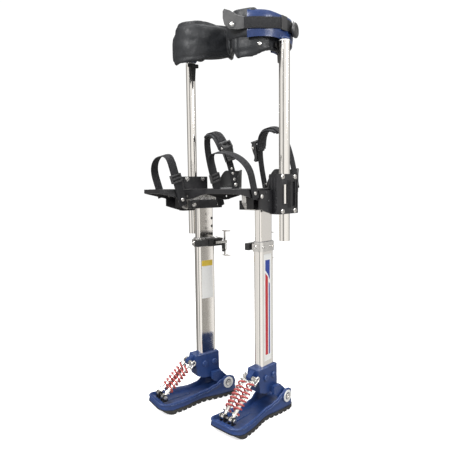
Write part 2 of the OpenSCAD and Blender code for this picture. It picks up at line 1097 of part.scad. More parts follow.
// Fastening strap round the outside of the shell, with its end plate and loops
module cuff_strap() {
    strap_low = leg_top_z + 30;
    near = band_r + 0.3;
    far = near + 2.4;
    color("black")
        translate([band_x, 0, strap_low])
            cuff_ring(near, far, band_stretch, 30)
                translate([-20 - 100, -150])
                    square([100, 300]);
    color("gray") {
        translate([band_x, 0, strap_low - 4])
            cuff_ring(near, near + 3, band_stretch, 40)
                difference() {
                    square([400, 400], center = true);
                    translate([-50, -150])
                        square([29.8, 130]);
                }
        translate([band_x, 0, strap_low - 3])
            cuff_ring(far + 0.3, far + 3.3, band_stretch, 36)
                difference() {
                    square([400, 400], center = true);
                    translate([60, 18])
                        square([40, 10]);
                }
        translate([band_x, 0, strap_low - 3])
            cuff_ring(far + 0.3, far + 6, band_stretch, 30)
                difference() {
                    square([400, 400], center = true);
                    translate([20, 60])
                        square([30, 60]);
                }
    }
}

module piece(name) {
    if (name == "foot_casting") foot_casting();
    if (name == "tread") tread();
    if (name == "toe_lugs") toe_lugs();
    if (name == "heel_axle") heel_axle();
    if (name == "ankle_casting") ankle_casting();
    if (name == "lower_pole") lower_pole();
    if (name == "guide_sleeve") guide_sleeve();
    if (name == "pole_collar") pole_collar();
    if (name == "latch_block") latch_block();
    if (name == "shank_bolts") shank_bolts();
    if (name == "latch_lever") latch_lever();
    if (name == "lock_pin") lock_pin();
    if (name == "spring_barrels") spring_barrels();
    if (name == "spring_rods") spring_rods();
    if (name == "coil_springs") coil_springs();
    if (name == "upper_pole") upper_pole();
    if (name == "pole_saddle") pole_saddle();
    if (name == "saddle_jaw") saddle_jaw();
    if (name == "foot_platform") foot_platform();
    if (name == "side_bracket") side_bracket();
    if (name == "bracket_bolts") bracket_bolts();
    if (name == "heel_cup") heel_cup();
    if (name == "toe_strap") toe_strap();
    if (name == "ankle_strap") ankle_strap();
    if (name == "strap_buckles") strap_buckles();
    if (name == "buckle_lever") buckle_lever();
    if (name == "leg_tube") leg_tube();
    if (name == "cuff_band") cuff_band();
    if (name == "cuff_pad") cuff_pad();
    if (name == "cuff_strap") cuff_strap();
}

for (side = SIDES)
    for (name = PIECES)
        placed(side) piece(name);
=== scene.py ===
import json
import math

import bpy
from mathutils import Matrix, Vector, noise


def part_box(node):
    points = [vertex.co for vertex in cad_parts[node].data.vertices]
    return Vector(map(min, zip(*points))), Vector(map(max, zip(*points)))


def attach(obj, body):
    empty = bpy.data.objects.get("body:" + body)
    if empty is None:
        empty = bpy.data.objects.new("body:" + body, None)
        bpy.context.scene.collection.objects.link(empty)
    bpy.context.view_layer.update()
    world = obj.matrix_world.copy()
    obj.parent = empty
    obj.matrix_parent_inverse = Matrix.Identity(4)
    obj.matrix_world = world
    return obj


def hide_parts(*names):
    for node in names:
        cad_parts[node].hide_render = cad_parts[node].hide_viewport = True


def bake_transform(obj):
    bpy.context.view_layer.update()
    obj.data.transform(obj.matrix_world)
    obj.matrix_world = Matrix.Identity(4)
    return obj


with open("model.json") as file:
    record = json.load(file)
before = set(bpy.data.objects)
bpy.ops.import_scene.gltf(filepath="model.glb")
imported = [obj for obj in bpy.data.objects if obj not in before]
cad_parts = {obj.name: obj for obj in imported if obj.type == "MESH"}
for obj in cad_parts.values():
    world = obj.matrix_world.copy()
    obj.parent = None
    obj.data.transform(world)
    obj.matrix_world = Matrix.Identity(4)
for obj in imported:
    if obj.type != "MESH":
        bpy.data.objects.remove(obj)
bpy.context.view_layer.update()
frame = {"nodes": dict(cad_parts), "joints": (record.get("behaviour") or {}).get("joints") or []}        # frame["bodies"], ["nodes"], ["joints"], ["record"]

SIDES = ("left", "right")
MM = 0.001
UP = Vector((0, 0, 1))
REARWARD = Vector((0, 1, 0))


# ---- placing

def side_matrix(side):
    """Carries one stilt's own frame, in millimetres, to the shared frame.

    In its own frame x points outward, y to the heel and z up, with the pole on the z axis.
    """
    low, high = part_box(f"{side}_lower_pole")
    middle = (low + high) / 2
    joint = next(j for j in frame["joints"] if j["name"] == f"{side}_ankle_flex")
    along = Vector(joint["axis"]).normalized()
    sign = 1 if side == "left" else -1
    outward = along * sign
    rearward = UP.cross(along)
    if rearward.y < 0:
        rearward.negate()
    turn = Matrix((outward, rearward, UP)).transposed().to_4x4()
    return Matrix.Translation((middle.x, middle.y, 0)) @ turn @ Matrix.Scale(MM, 4)


PLACE = {side: side_matrix(side) for side in SIDES}


# ---- finishes

def placed(name, data):
    """A new object in the scene."""
    thing = bpy.data.objects.new(name, data)
    bpy.context.scene.collection.objects.link(thing)
    return thing


class Nodes:
    """Adds and joins the nodes of one tree."""

    def __init__(self, tree):
        self.tree = tree

    def add(self, kind, **settings):
        node = self.tree.nodes.new(kind)
        for key, value in settings.items():
            if hasattr(node, key):
                setattr(node, key, value)
            else:
                node.inputs[key].default_value = value
        return node

    def join(self, source, target):
        self.tree.links.new(source, target)

    def ramp(self, source, low, high, start=0.3, end=0.7):
        """Carries start to low and end to high, and holds the value at both ends."""
        span = {"From Min": start, "From Max": end, "To Min": low, "To Max": high}
        node = self.add("ShaderNodeMapRange", **span)
        self.join(source, node.inputs["Value"])
        return node.outputs["Result"]

    def maths(self, kind, a, b):
        node = self.add("ShaderNodeMath", operation=kind)
        for slot, value in enumerate((a, b)):
            if isinstance(value, (int, float)):
                node.inputs[slot].default_value = value
            else:
                self.join(value, node.inputs[slot])
        return node.outputs["Value"]


class Finish(Nodes):
    """A node material built round one Principled shader."""

    def __init__(self, name, colour, rough, metal=0.0):
        self.material = bpy.data.materials.new(name)
        self.material.use_nodes = True
        super().__init__(self.material.node_tree)
        self.shader = self.tree.nodes["Principled BSDF"]
        self.put({"Base Color": (*colour, 1), "Roughness": rough, "Metallic": metal})
        self.height = None
        where = self.add("ShaderNodeTexCoord")
        self.place = where.outputs["Object"]
        self.uv = where.outputs["UV"]

    def put(self, values):
        for key, value in values.items():
            self.shader.inputs[key].default_value = value

    def stretched(self, scale):
        mapping = self.add("ShaderNodeMapping", Scale=scale)
        self.join(self.place, mapping.inputs["Vector"])
        return mapping.outputs["Vector"]

    def noise(self, scale, detail=4.0, vector=None):
        node = self.add("ShaderNodeTexNoise", Scale=scale, Detail=detail, Roughness=0.5)
        self.join(vector or self.place, node.inputs["Vector"])
        return node.outputs["Fac"]

    def cells(self, scale, vector=None):
        node = self.add("ShaderNodeTexVoronoi", feature="F1", Scale=scale)
        self.join(vector or self.place, node.inputs["Vector"])
        return node.outputs["Distance"]

    def tint(self, source, colour):
        """Mixes the base colour with another by source, 0 to 1."""
        node = self.add("ShaderNodeMix", data_type="RGBA")
        shader_in = self.shader.inputs["Base Color"]
        if shader_in.is_linked:
            self.join(shader_in.links[0].from_socket, node.inputs[6])
        else:
            node.inputs[6].default_value = shader_in.default_value
        node.inputs[7].default_value = (*colour, 1)
        self.join(source, node.inputs["Factor"])
        self.join(node.outputs[2], shader_in)

    def roughen(self, source, low, high, start=0.3, end=0.7):
        self.join(self.ramp(source, low, high, start, end), self.shader.inputs["Roughness"])

    def bump(self, source, depth):
        """Raises the surface by source times depth, in millimetres."""
        node = self.add("ShaderNodeBump", Strength=1.0, Distance=depth * MM)
        self.join(source, node.inputs["Height"])
        if self.height is not None:
            self.join(self.height, node.inputs["Normal"])
        self.height = node.outputs["Normal"]
        self.join(self.height, self.shader.inputs["Normal"])

    def edges(self, colour, start=0.53, end=0.6):
        """Rubs the sharp edges to another colour."""
        shape = self.add("ShaderNodeNewGeometry")
        worn = self.ramp(shape.outputs["Pointiness"], 0.0, 1.0, start, end)
        patchy = self.maths("MULTIPLY", worn, self.ramp(self.noise(160), 0.0, 0.8, 0.4, 0.7))
        self.tint(patchy, colour)

    def matt(self, specular, sheen=0.0):
        self.put({"Specular IOR Level": specular, "Sheen Weight": sheen, "Sheen Roughness": 0.35})


def layered(name, colour, rough, metal=0.0, tints=(), worn=(), spread=(), bumps=(), coat=0.0):
    """A finish in layers of noise; every row starts with the noise's scale and detail.

    Tints go on with (share, colour, start, end), the spread of roughness with (low, high) and bumps with
    (depth). A bump with no detail is made of cells.
    """
    f = Finish(name, colour, rough, metal)
    for scale, detail, share, shade, *span in tints:
        f.tint(f.ramp(f.noise(scale, detail), 0.0, share, *span), shade)
    if worn:
        f.edges(*worn)
    scale, detail, low, high = spread
    f.roughen(f.noise(scale, detail), low, high)
    for scale, detail, depth in bumps:
        f.bump(f.noise(scale, detail) if detail else f.cells(scale), depth)
    if coat:
        f.put({"Coat Weight": coat, "Coat Roughness": 0.15})
    return f.material


def moulded_blue(name, colour, lighter, rough):
    darker = tuple(c * 0.55 for c in colour)
    return layered(name, colour, rough, tints=((14, 3, 0.55, lighter), (70, 6, 0.35, darker, 0.5, 0.75)),
                   worn=((0.14, 0.2, 0.36),), spread=(60, 5, rough - 0.07, rough + 0.12),
                   bumps=((900, 2, 0.05), (90, 3, 0.12)))


def moulded_black(name, shade, rough):
    return layered(name, (shade, shade, shade * 1.08), rough, tints=((45, 4, 0.5, (shade * 2.4,) * 3),),
                   worn=((shade * 7,) * 3,), spread=(70, 4, rough - 0.08, rough + 0.1),
                   bumps=((1500, 0, 0.03), (160, 3, 0.06)))


def polished_aluminium():
    f = Finish("polished_aluminium", (0.95, 0.93, 0.9), 0.12, 1.0)
    drawn = f.noise(90, 3, f.stretched((14, 14, 0.25)))
    f.tint(f.ramp(drawn, 0.0, 0.4, 0.4, 0.7), (0.84, 0.82, 0.79))
    scuffs = f.noise(400, 6, f.stretched((1.5, 1.5, 0.1)))
    f.roughen(scuffs, 0.07, 0.18, 0.4, 0.75)
    f.bump(drawn, 0.02)
    return f.material


def woven_webbing():
    """Threads run along u and across v of the ribbon's own coordinates, which are in centimetres."""
    f = Finish("woven_webbing", (0.014, 0.014, 0.016), 0.72)
    split = f.add("ShaderNodeSeparateXYZ")
    f.join(f.uv, split.inputs["Vector"])
    warp = f.maths("SINE", f.maths("MULTIPLY", split.outputs["Y"], 42.0), 0.0)
    weft = f.maths("SINE", f.maths("MULTIPLY", split.outputs["X"], 34.0), 0.0)
    twill = f.maths("ADD", f.maths("MULTIPLY", split.outputs["X"], 21.0),
                    f.maths("MULTIPLY", split.outputs["Y"], 21.0))
    rows = f.maths("SINE", twill, 0.0)
    weave = f.maths("ADD", f.maths("MULTIPLY", warp, weft), f.maths("MULTIPLY", rows, 0.6))
    f.tint(f.ramp(weave, 0.0, 0.7, -0.6, 1.2), (0.036, 0.037, 0.04))
    f.tint(f.ramp(f.noise(60, 4), 0.0, 0.4), (0.02, 0.02, 0.022))
    f.roughen(weave, 0.6, 0.85, -1.0, 1.0)
    f.bump(weave, 0.22)
    f.bump(f.noise(1500, 2), 0.05)
    f.matt(0.3, 0.04)
    return f.material


def knitted_lining():
    f = Finish("knitted_lining", (0.008, 0.009, 0.011), 0.5)
    f.tint(f.ramp(f.noise(16, 4), 0.0, 0.6), (0.016, 0.018, 0.021))
    knit = f.cells(620, f.stretched((1, 1, 1.5)))
    f.tint(f.ramp(knit, 0.0, 0.4, 0.2, 0.8), (0.026, 0.028, 0.033))
    f.roughen(f.noise(90, 4), 0.4, 0.62)
    f.bump(knit, 0.12)
    f.bump(f.noise(60, 4), 0.7)
    f.matt(0.4, 0.05)
    return f.material


def printed_vinyl(name, colour):
    return layered(name, colour, 0.32, tints=((200, 5, 0.25, tuple(c * 0.82 for c in colour)),),
                   spread=(260, 4, 0.24, 0.44), bumps=((500, 3, 0.02),))


BLUE = moulded_blue("blue_casting", (0.012, 0.036, 0.14), (0.022, 0.062, 0.21), 0.36)
SHELL = moulded_blue("blue_shell", (0.012, 0.03, 0.11), (0.02, 0.05, 0.17), 0.28)
PAINT = layered("satin_black_paint", (0.012, 0.012, 0.014), 0.34,
                tints=((30, 4, 0.5, (0.028, 0.028, 0.031)),), worn=((0.16, 0.16, 0.165), 0.54, 0.62),
                spread=(50, 5, 0.26, 0.44), bumps=((1100, 2, 0.03), (140, 3, 0.05)))
BLACK = moulded_black("black_plastic", 0.012, 0.42)
DARK = moulded_black("dark_hardware", 0.03, 0.36)
GREY = moulded_black("grey_plastic", 0.16, 0.45)
POLISHED = polished_aluminium()
CAST = layered("cast_aluminium", (0.8, 0.79, 0.77), 0.3, 1.0, tints=((60, 5, 0.5, (0.55, 0.55, 0.54)),),
               spread=(120, 5, 0.2, 0.42), bumps=((700, 3, 0.05), (80, 2, 0.12)))
STEEL = layered("bright_steel", (0.78, 0.77, 0.75), 0.24, 1.0,
                tints=((220, 5, 0.45, (0.4836, 0.4774, 0.465)),), spread=(350, 4, 0.16, 0.38),
                bumps=((1300, 2, 0.02),))
RUBBER = layered("tread_rubber", (0.018, 0.018, 0.019), 0.78, tints=((35, 5, 0.6, (0.045, 0.043, 0.04)),),
                 spread=(120, 4, 0.66, 0.92), bumps=((1000, 4, 0.1), (260, 0, 0.1)))
RED = layered("coated_spring", (0.42, 0.06, 0.055), 0.3,
              tints=((90, 4, 0.5, (0.55, 0.13, 0.12)), (480, 6, 0.7, (0.14, 0.012, 0.012), 0.6, 0.78)),
              spread=(200, 4, 0.2, 0.42), bumps=((900, 3, 0.04),), coat=0.4)
WHITE = layered("white_plastic", (0.78, 0.78, 0.76), 0.4, tints=((120, 5, 0.4, (0.6, 0.6, 0.57)),),
                spread=(150, 4, 0.32, 0.55), bumps=((700, 3, 0.04),))
WEBBING = woven_webbing()
LINING = knitted_lining()
LABEL_WHITE = printed_vinyl("label_white", (0.82, 0.82, 0.8))
LABEL_RED = printed_vinyl("label_red", (0.5, 0.02, 0.03))
LABEL_BLUE = printed_vinyl("label_blue", (0.02, 0.05, 0.3))
LABEL_YELLOW = printed_vinyl("label_yellow", (0.7, 0.5, 0.06))


# ---- shapes

class Shape:
    """Faces gathered in one stilt's own frame, in millimetres, before they become one piece."""

    def __init__(self):
        self.points, self.faces, self.paint, self.uv = [], [], [], []

    def add(self, points, faces, paint=0, matrix=None, uv=None):
        base = len(self.points)
        for i, p in enumerate(points):
            v = Vector(p)
            self.points.append(matrix @ v if matrix else v)
            self.uv.append(uv[i] if uv else (0.0, 0.0))
        flip = matrix is not None and matrix.determinant() < 0
        for face in faces:
            ids = [base + i for i in face]
            self.faces.append(ids[::-1] if flip else ids)
            self.paint.append(paint)


def make(name, side, shape, materials, body, replaces=(), bevel=0.0, sharp=38, flat=False):
    """Turns a shape into a piece, which rides on one of the side's bodies when one is given."""
    place = PLACE[side]
    mesh = bpy.data.meshes.new(f"{side}_{name}")
    flip = place.determinant() < 0
    faces = [f[::-1] for f in shape.faces] if flip else shape.faces
    mesh.from_pydata([place @ p for p in shape.points], [], faces)
    for m in materials if isinstance(materials, (list, tuple)) else [materials]:
        mesh.materials.append(m)
    mesh.polygons.foreach_set("material_index", shape.paint)
    layer = mesh.uv_layers.new(name="along")
    for loop in mesh.loops:
        layer.data[loop.index].uv = shape.uv[loop.vertex_index]
    if not flat:
        mesh.shade_smooth()
        mesh.set_sharp_from_angle(angle=math.radians(sharp))
    piece = placed(f"{side}_{name}", mesh)
    if bevel:
        round_edges(piece, bevel)
    if body:
        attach(piece, f"{side}_{body}")
    if replaces:
        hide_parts(*[f"{side}_{node}" for node in replaces])
    return piece


SHARP_EDGE, EDGE_SEGMENTS = 32, 3


def round_edges(piece, width):
    """Rounds the edges sharper than SHARP_EDGE by width, in millimetres."""
    mod = piece.modifiers.new("round_edges", "BEVEL")
    mod.width = width * MM
    mod.segments = EDGE_SEGMENTS
    mod.limit_method = "ANGLE"
    mod.angle_limit = math.radians(SHARP_EDGE)
    mod.harden_normals = True


def strips(rings, closed_path=False, cap=True, flip=False):
    """Points and faces of a surface through rings that all have the same number of points."""
    n = len(rings[0])
    points = [p for ring in rings for p in ring]
    faces = []
    count = len(rings)
    for i in range(count if closed_path else count - 1):
        j = (i + 1) % count
        for k in range(n):
            m = (k + 1) % n
            faces.append([i * n + k, i * n + m, j * n + m, j * n + k])
    if cap and not closed_path:
        faces.append(list(range(n))[::-1])
        faces.append([(count - 1) * n + k for k in range(n)])
    return points, [f[::-1] for f in faces] if flip else faces


def block(low, high):
    (x0, y0, z0), (x1, y1, z1) = low, high
    base = [(x0, y0), (x1, y0), (x1, y1), (x0, y1)]
    return strips([[(x, y, z) for x, y in base] for z in (z0, z1)])


# Radius of a turned solid's profile where it meets its axis
TIP = 0.02


def turned(profile, sides=32, six_sided=()):
    """Solid turned about z through (radius, height) pairs. Rows named in six_sided are drawn as hexagons."""
    rings = []
    for row, (radius, height) in enumerate(profile):
        ring = []
        for k in range(sides):
            a = math.tau * k / sides
            r = radius
            if row in six_sided:
                r = radius * math.cos(math.pi / 6) / math.cos((a % (math.pi / 3)) - math.pi / 6)
            ring.append((r * math.cos(a), r * math.sin(a), height))
        rings.append(ring)
    return strips(rings)


def plate_x(outline, x0, x1):
    """A (y, z) outline drawn as a plate across x."""
    return strips([[(x, y, z) for y, z in outline] for x in (x0, x1)])


def plate_y(outline, y0, y1):
    """An (x, z) outline drawn as a plate across y."""
    return strips([[(x, y, z) for x, z in outline] for y in (y0, y1)], flip=True)


def aim(spot, axis):
    """Matrix that carries the z axis onto axis at spot."""
    turn = UP.rotation_difference(Vector(axis))
    return Matrix.Translation(spot) @ turn.to_matrix().to_4x4()


def swept(path, radius, sides=12, closed=False):
    """Round bar along a path. The radius may be one number or one for each point."""
    path = [Vector(p) for p in path]
    n = len(path)
    rings = []
    normal = None
    for i, p in enumerate(path):
        ahead = path[(i + 1) % n] if closed or i < n - 1 else p
        behind = path[i - 1] if closed or i > 0 else p
        tangent = (ahead - behind).normalized()
        if normal is None:
            normal = tangent.orthogonal().normalized()
        normal = (normal - tangent * normal.dot(tangent)).normalized()
        cross = tangent.cross(normal)
        r = radius[i] if isinstance(radius, (list, tuple)) else radius
        angles = [math.tau * k / sides for k in range(sides)]
        rings.append([p + (normal * math.cos(a) + cross * math.sin(a)) * r for a in angles])
    return strips(rings, closed_path=closed)


def ribbon(path, across, outward, width, thick, round_by=0.45):
    """Flat strap along a path: across and outward are unit vectors, one for each point or one for all."""
    path = [Vector(p) for p in path]
    n = len(path)
    half_w = [w / 2 for w in (width if isinstance(width, list) else [width] * n)]
    half_t = [t / 2 for t in (thick if isinstance(thick, list) else [thick] * n)]
    rings, uv, length = [], [], 0.0
    for i, p in enumerate(path):
        a = Vector(across[i] if isinstance(across, list) else across)
        o = Vector(outward[i] if isinstance(outward, list) else outward)
        if i:
            length += (p - path[i - 1]).length
        w, t = half_w[i], half_t[i]
        c = min(t, w) * 2 * round_by
        ring = []
        for su, sv, order in ((1, 1, 1), (-1, 1, -1), (-1, -1, 1), (1, -1, -1)):
            steps = (0, 30, 60, 90) if order > 0 else (90, 60, 30, 0)
            for deg in steps:
                u = su * (w - c + c * math.cos(math.radians(deg)))
                v = sv * (t - c + c * math.sin(math.radians(deg)))
                ring.append(p + a * u + o * v)
                uv.append((length / 10, u / 10))
        rings.append(ring)
    points, faces = strips(rings)
    return points, faces, uv


def smooth(t):
    t = max(0.0, min(1.0, t))
    return t * t * (3 - 2 * t)


def bell(t, middle, reach):
    return math.exp(-((t - middle) / reach) ** 2)


def curve_at(rows, x):
    """Smooth curve through (x, value) rows."""
    if x <= rows[0][0]:
        return rows[0][1]
    for (x0, v0), (x1, v1) in zip(rows, rows[1:]):
        if x <= x1:
            return v0 + (v1 - v0) * smooth((x - x0) / (x1 - x0))
    return rows[-1][1]


def resampled(path, count, closed=False):
    """The path cut into count points, evenly spaced along it."""
    path = [Vector(p) for p in path]
    if closed:
        path = path + [path[0]]
    marks = [0.0]
    for a, b in zip(path, path[1:]):
        marks.append(marks[-1] + (b - a).length)
    total = marks[-1]
    out, k = [], 0
    steps = count if closed else count - 1
    for i in range(count):
        want = total * i / steps
        while k < len(marks) - 2 and marks[k + 1] < want:
            k += 1
        span = max(marks[k + 1] - marks[k], 1e-9)
        out.append(path[k].lerp(path[k + 1], (want - marks[k]) / span))
    return out


def bolt(shape, spot, axis, radius, height, paint=0):
    """Round-headed socket screw, seen from outside."""
    profile = [(TIP, 0.35 * height), (0.42 * radius, 0.35 * height), (0.46 * radius, 0.98 * height),
               (0.72 * radius, height), (0.93 * radius, 0.72 * height), (radius, 0.4 * height),
               (radius, 0.0), (TIP, 0.0)]
    points, faces = turned(profile[::-1], 30, six_sided=(5, 6))
    shape.add(points, faces, paint, aim(spot, axis))


def shank(shape, spot, axis, radius, length):
    """Plain round shank of a screw."""
    profile = [(TIP, 0), (radius, 0), (radius, length), (TIP, length)]
    shape.add(*turned(profile, 20), 0, aim(spot, axis))


def nut(shape, spot, axis, radius, height):
    """Hexagon nut with the end of its bolt."""
    profile = [(TIP, 0), (radius, 0), (radius, height * 0.82), (radius * 0.86, height),
               (radius * 0.5, height), (radius * 0.48, height * 1.35), (TIP, height * 1.4)]
    points, faces = turned(profile, 36, six_sided=(1, 2))
    shape.add(points, faces, 0, aim(spot, axis))


# ---- CAD parts that stay

# How close points are welded, in millimetres, and how flat faces must lie to be merged, in degrees
WELD_REACH, FLAT_ANGLE = 0.02, 0.6


def dress(side, node, materials, bevel=0.0, pick=None):
    """Gives a CAD part its finishes and softens its edges; pick names the finish of a face by its middle.

    The middle is in millimetres in the stilt's own frame.
    """
    part = frame["nodes"][f"{side}_{node}"]
    mesh = part.data
    mesh.materials.clear()
    for m in materials if isinstance(materials, (list, tuple)) else [materials]:
        mesh.materials.append(m)
    back = PLACE[side].inverted()
    index = [int(pick(back @ face.center)) if pick else 0 for face in mesh.polygons]
    mesh.polygons.foreach_set("material_index", index)
    if bevel:
        weld = part.modifiers.new("weld", "WELD")
        weld.merge_threshold = WELD_REACH * MM
        merge = part.modifiers.new("merge", "DECIMATE")
        merge.decimate_type = "DISSOLVE"
        merge.angle_limit = math.radians(FLAT_ANGLE)
        merge.delimit = {"MATERIAL"}
        if "custom_normal" in mesh.attributes:
            mesh.attributes.remove(mesh.attributes["custom_normal"])
        mesh.shade_smooth()
        round_edges(part, bevel)


HEEL_Y, HEEL_Z = 54, 48
TOE_PIN_Y, TOE_PIN_Z = -162, 46
EYE_Y, EYE_Z = -66, 130
LEG_X, LEG_Y, LEG_TOP = 73, 3, 1076
DECK_Z = 679
COLLAR_Z = 510


# CAD parts in one finish: name, finish and rounding of the edges
PLAIN_PARTS = (
    ("ankle_casting", BLUE, 2.2), ("lower_pole", POLISHED, 0), ("upper_pole", POLISHED, 0),
    ("guide_sleeve", GREY, 0.4), ("pole_collar", CAST, 0.8), ("shank_bolts", STEEL, 0.6),
    ("latch_lever", STEEL, 0.7), ("lock_pin", STEEL, 0.5), ("spring_barrels", POLISHED, 0.5),
    ("spring_rods", STEEL, 0.5), ("pole_saddle", CAST, 1.6), ("saddle_jaw", PAINT, 1.8),
    ("foot_platform", PAINT, 1.2), ("side_bracket", PAINT, 1.5),
)


def toe_pin_face(c):
    return abs(c.x) > 24.05 or math.hypot(c.y - TOE_PIN_Y, c.z - TOE_PIN_Z) < 3.02


def axle_cap_face(c):
    return abs(c.x) > 47 and math.hypot(c.y - HEEL_Y, c.z - HEEL_Z) > 9.6


def latch_screw_face(c):
    return c.y > 50.2 and math.hypot(c.x + 30, c.z - COLLAR_Z + 26) < 3.03


def leg_tube_part(c):
    """0 for the tube, 1 for its cap and 2 for the dark strip on its inner side."""
    if c.x < LEG_X - 15.3:
        return 2
    in_cap = c.z > LEG_TOP - 20.2 and math.hypot(c.x - LEG_X, c.y - LEG_Y) < 13.2
    return 1 if in_cap or c.z > LEG_TOP + 0.05 else 0


def dress_frame(side):
    """Finishes of all the CAD parts that stay."""
    for node, finish, bevel in PLAIN_PARTS:
        dress(side, node, finish, bevel)
    dress(side, "toe_lugs", [BLACK, STEEL], 0.5, toe_pin_face)
    dress(side, "heel_axle", [DARK, WHITE], 0.5, axle_cap_face)
    dress(side, "latch_block", [BLACK, STEEL], 0.8, latch_screw_face)
    dress(side, "leg_tube", [POLISHED, WHITE, BLACK], 0.5, leg_tube_part)


# ---- foot

SOLE_TOE, SOLE_WAIST, SOLE_HEEL = (29, -166, 24), (24, -20, 20), (15, 66, 32)
WAIST_HOLLOW, WAIST_Y, WAIST_REACH = 9, -42, 46
TREAD_H = 13
TOE_BEND, TOE_SLOPE = -150, 0.27


def sole_width(y):
    """Half width of the sole at y: circles carried from toe to waist to heel, less the waist's hollow."""
    best = 0.0
    for a, b in ((SOLE_TOE, SOLE_WAIST), (SOLE_WAIST, SOLE_HEEL)):
        for i in range(61):
            t = i / 60
            x, cy, r = (a[k] + (b[k] - a[k]) * t for k in range(3))
            if abs(y - cy) <= r:
                best = max(best, x + math.sqrt(r * r - (y - cy) ** 2))
    return best - WAIST_HOLLOW * bell(y, WAIST_Y, WAIST_REACH)


def sole_ring(count):
    """(point, outward direction) round the sole from the toe's middle; the second half mirrors the first."""
    toe_y, toe_r = SOLE_TOE[1:]
    heel_y, heel_r = SOLE_HEEL[1:]
    ys = [toe_y - toe_r * math.cos(math.radians(a)) for a in range(0, 90, 6)]
    ys += [toe_y + (heel_y - toe_y) * i / 60 for i in range(61)]
    ys += [heel_y + heel_r * math.sin(math.radians(a)) for a in range(6, 91, 6)]
    half = [(0, toe_y - toe_r)] + [(sole_width(y), y) for y in ys] + [(0, heel_y + heel_r)]
    half = resampled([(x, y, 0) for x, y in half], count)
    ring = half + [Vector((-p.x, p.y, 0)) for p in half[-2:0:-1]]
    out = []
    for i, p in enumerate(ring):
        t = ring[(i + 1) % len(ring)] - ring[i - 1]
        out.append((p, Vector((t.y, -t.x, 0)).normalized()))
    return out


def sole_base(y):
    return TREAD_H + max(0.0, TOE_BEND - y) * TOE_SLOPE


RIM = [(-190, 40), (-150, 37), (-110, 36), (-60, 36), (-20, 40), (8, 50), (30, 62), (46, 70), (62, 70),
       (76, 64), (88, 48), (98, 29)]


def sole_surface(rings_spec, count, top_of, bottom_of):
    """Closed body over the sole's plan: rings as (inset, height function), with a floor at top and bottom."""
    across = 5
    ring = sole_ring(count)
    n = len(ring)
    rows = []
    for inset, height in rings_spec:
        rows.append([p - d * inset + UP * height(p.y) for p, d in ring])
    points, faces = strips(rows, cap=False)
    points = [Vector(p) for p in points]
    for row, level, upper in ((len(rows) - 1, top_of, True), (0, bottom_of, False)):
        base = row * n
        lines = []
        for i in range(1, count - 1):
            a, b = base + i, base + n - i
            line = [a]
            for k in range(1, across + 1):
                q = points[a].lerp(points[b], k / (across + 1))
                q.z = level(q.y)
                points.append(q)
                line.append(len(points) - 1)
            line.append(b)
            lines.append(line)
        for one, two in zip(lines, lines[1:]):
            for k in range(len(one) - 1):
                quad = [one[k], two[k], two[k + 1], one[k + 1]]
                faces.append(quad if upper else quad[::-1])
        for line, tip, turn in ((lines[0], base, True), (lines[-1], base + count - 1, False)):
            fan = [tip] + line if turn else [tip] + line[::-1]
            faces.append(fan if upper else fan[::-1])
    return points, faces


def foot_shape():
    rim = lambda y: curve_at(RIM, y)
    deck = lambda y: sole_base(y) + 10 + 3 * smooth((TOE_BEND + 10 - y) / 40)
    part = lambda share: (lambda y: sole_base(y) + (rim(y) - sole_base(y)) * share)
    spec = [
        (1.6, sole_base),
        (0.4, lambda y: sole_base(y) + 1.2),
        (0.0, part(0.22)),
        (1.5, part(0.42)),
        (2.2, part(0.56)),
        (0.9, part(0.68)),
        (0.0, part(0.8)),
        (0.3, lambda y: rim(y) - 1.8),
        (1.4, lambda y: rim(y) - 0.5),
        (3.0, rim),
        (4.8, lambda y: rim(y) - 0.5),
        (6.2, lambda y: rim(y) - 2.2),
        (7.4, lambda y: max(rim(y) - 7, deck(y) + 3)),
        (9.0, lambda y: deck(y) + 0.35 * max(rim(y) - 9 - deck(y), 2.0) * 0.5),
        (13.0, lambda y: deck(y) + 0.6),
        (17.0, deck),
    ]
    return sole_surface(spec, 110, deck, sole_base)


def bead(path, radius, end_radius):
    """Round bead along a path, thinner at its two ends."""
    return swept(path, [end_radius] + [radius] * (len(path) - 2) + [end_radius], 8)


def make_foot(side):
    """Blue sole casting with its axle bosses, a bead along its rim and a rib under the springs."""
    s = Shape()
    s.add(*foot_shape())
    boss = [(TIP, 0), (17.5, 0), (20.0, 1.2), (20.6, 4.0), (20.0, 9.0), (17.6, 10.4), (12, 10.6), (TIP, 10.6)]
    for sign in (-1, 1):
        s.add(*turned(boss, 48), 0, aim((sign * 37.6, HEEL_Y, HEEL_Z), (sign, 0, 0)))
    for sign in (-1, 1):
        height = lambda y: curve_at(RIM, y) - 9 + 3 * smooth((-y - 40) / 100)
        edge = [(sign * (sole_width(y) + 0.2), y, height(y)) for y in range(-158, 31, 6)]
        s.add(*bead(edge, 1.5, 0.4))
    s.add(*bead([(0, y, sole_base(y) + 10.4) for y in range(-146, -60, 6)], 2.0, 0.5))
    make("foot_shell", side, s, BLUE, "sole", ["foot_casting"], sharp=50)


LUG_PITCH, GROOVE_HALF, GROOVE_DEPTH = 19, 4.6, 4.6
LUG_START, LUG_END = -146, 82


def groove(y):
    """Height of the tread's underside: scalloped lugs, rising in a curve at the toe and the heel."""
    step = (y + 134.5) % LUG_PITCH
    d = min(step, LUG_PITCH - step) / GROOVE_HALF
    cut = GROOVE_DEPTH * (1 - d * d) ** 0.5 if d < 1 and LUG_START < y < LUG_END else 0.0
    toe = 30 * (max(0.0, LUG_START - y) / 44) ** 1.5 * 0.78
    heel = 8 * (max(0.0, y - 84) / 14) ** 1.4
    return cut + toe + heel


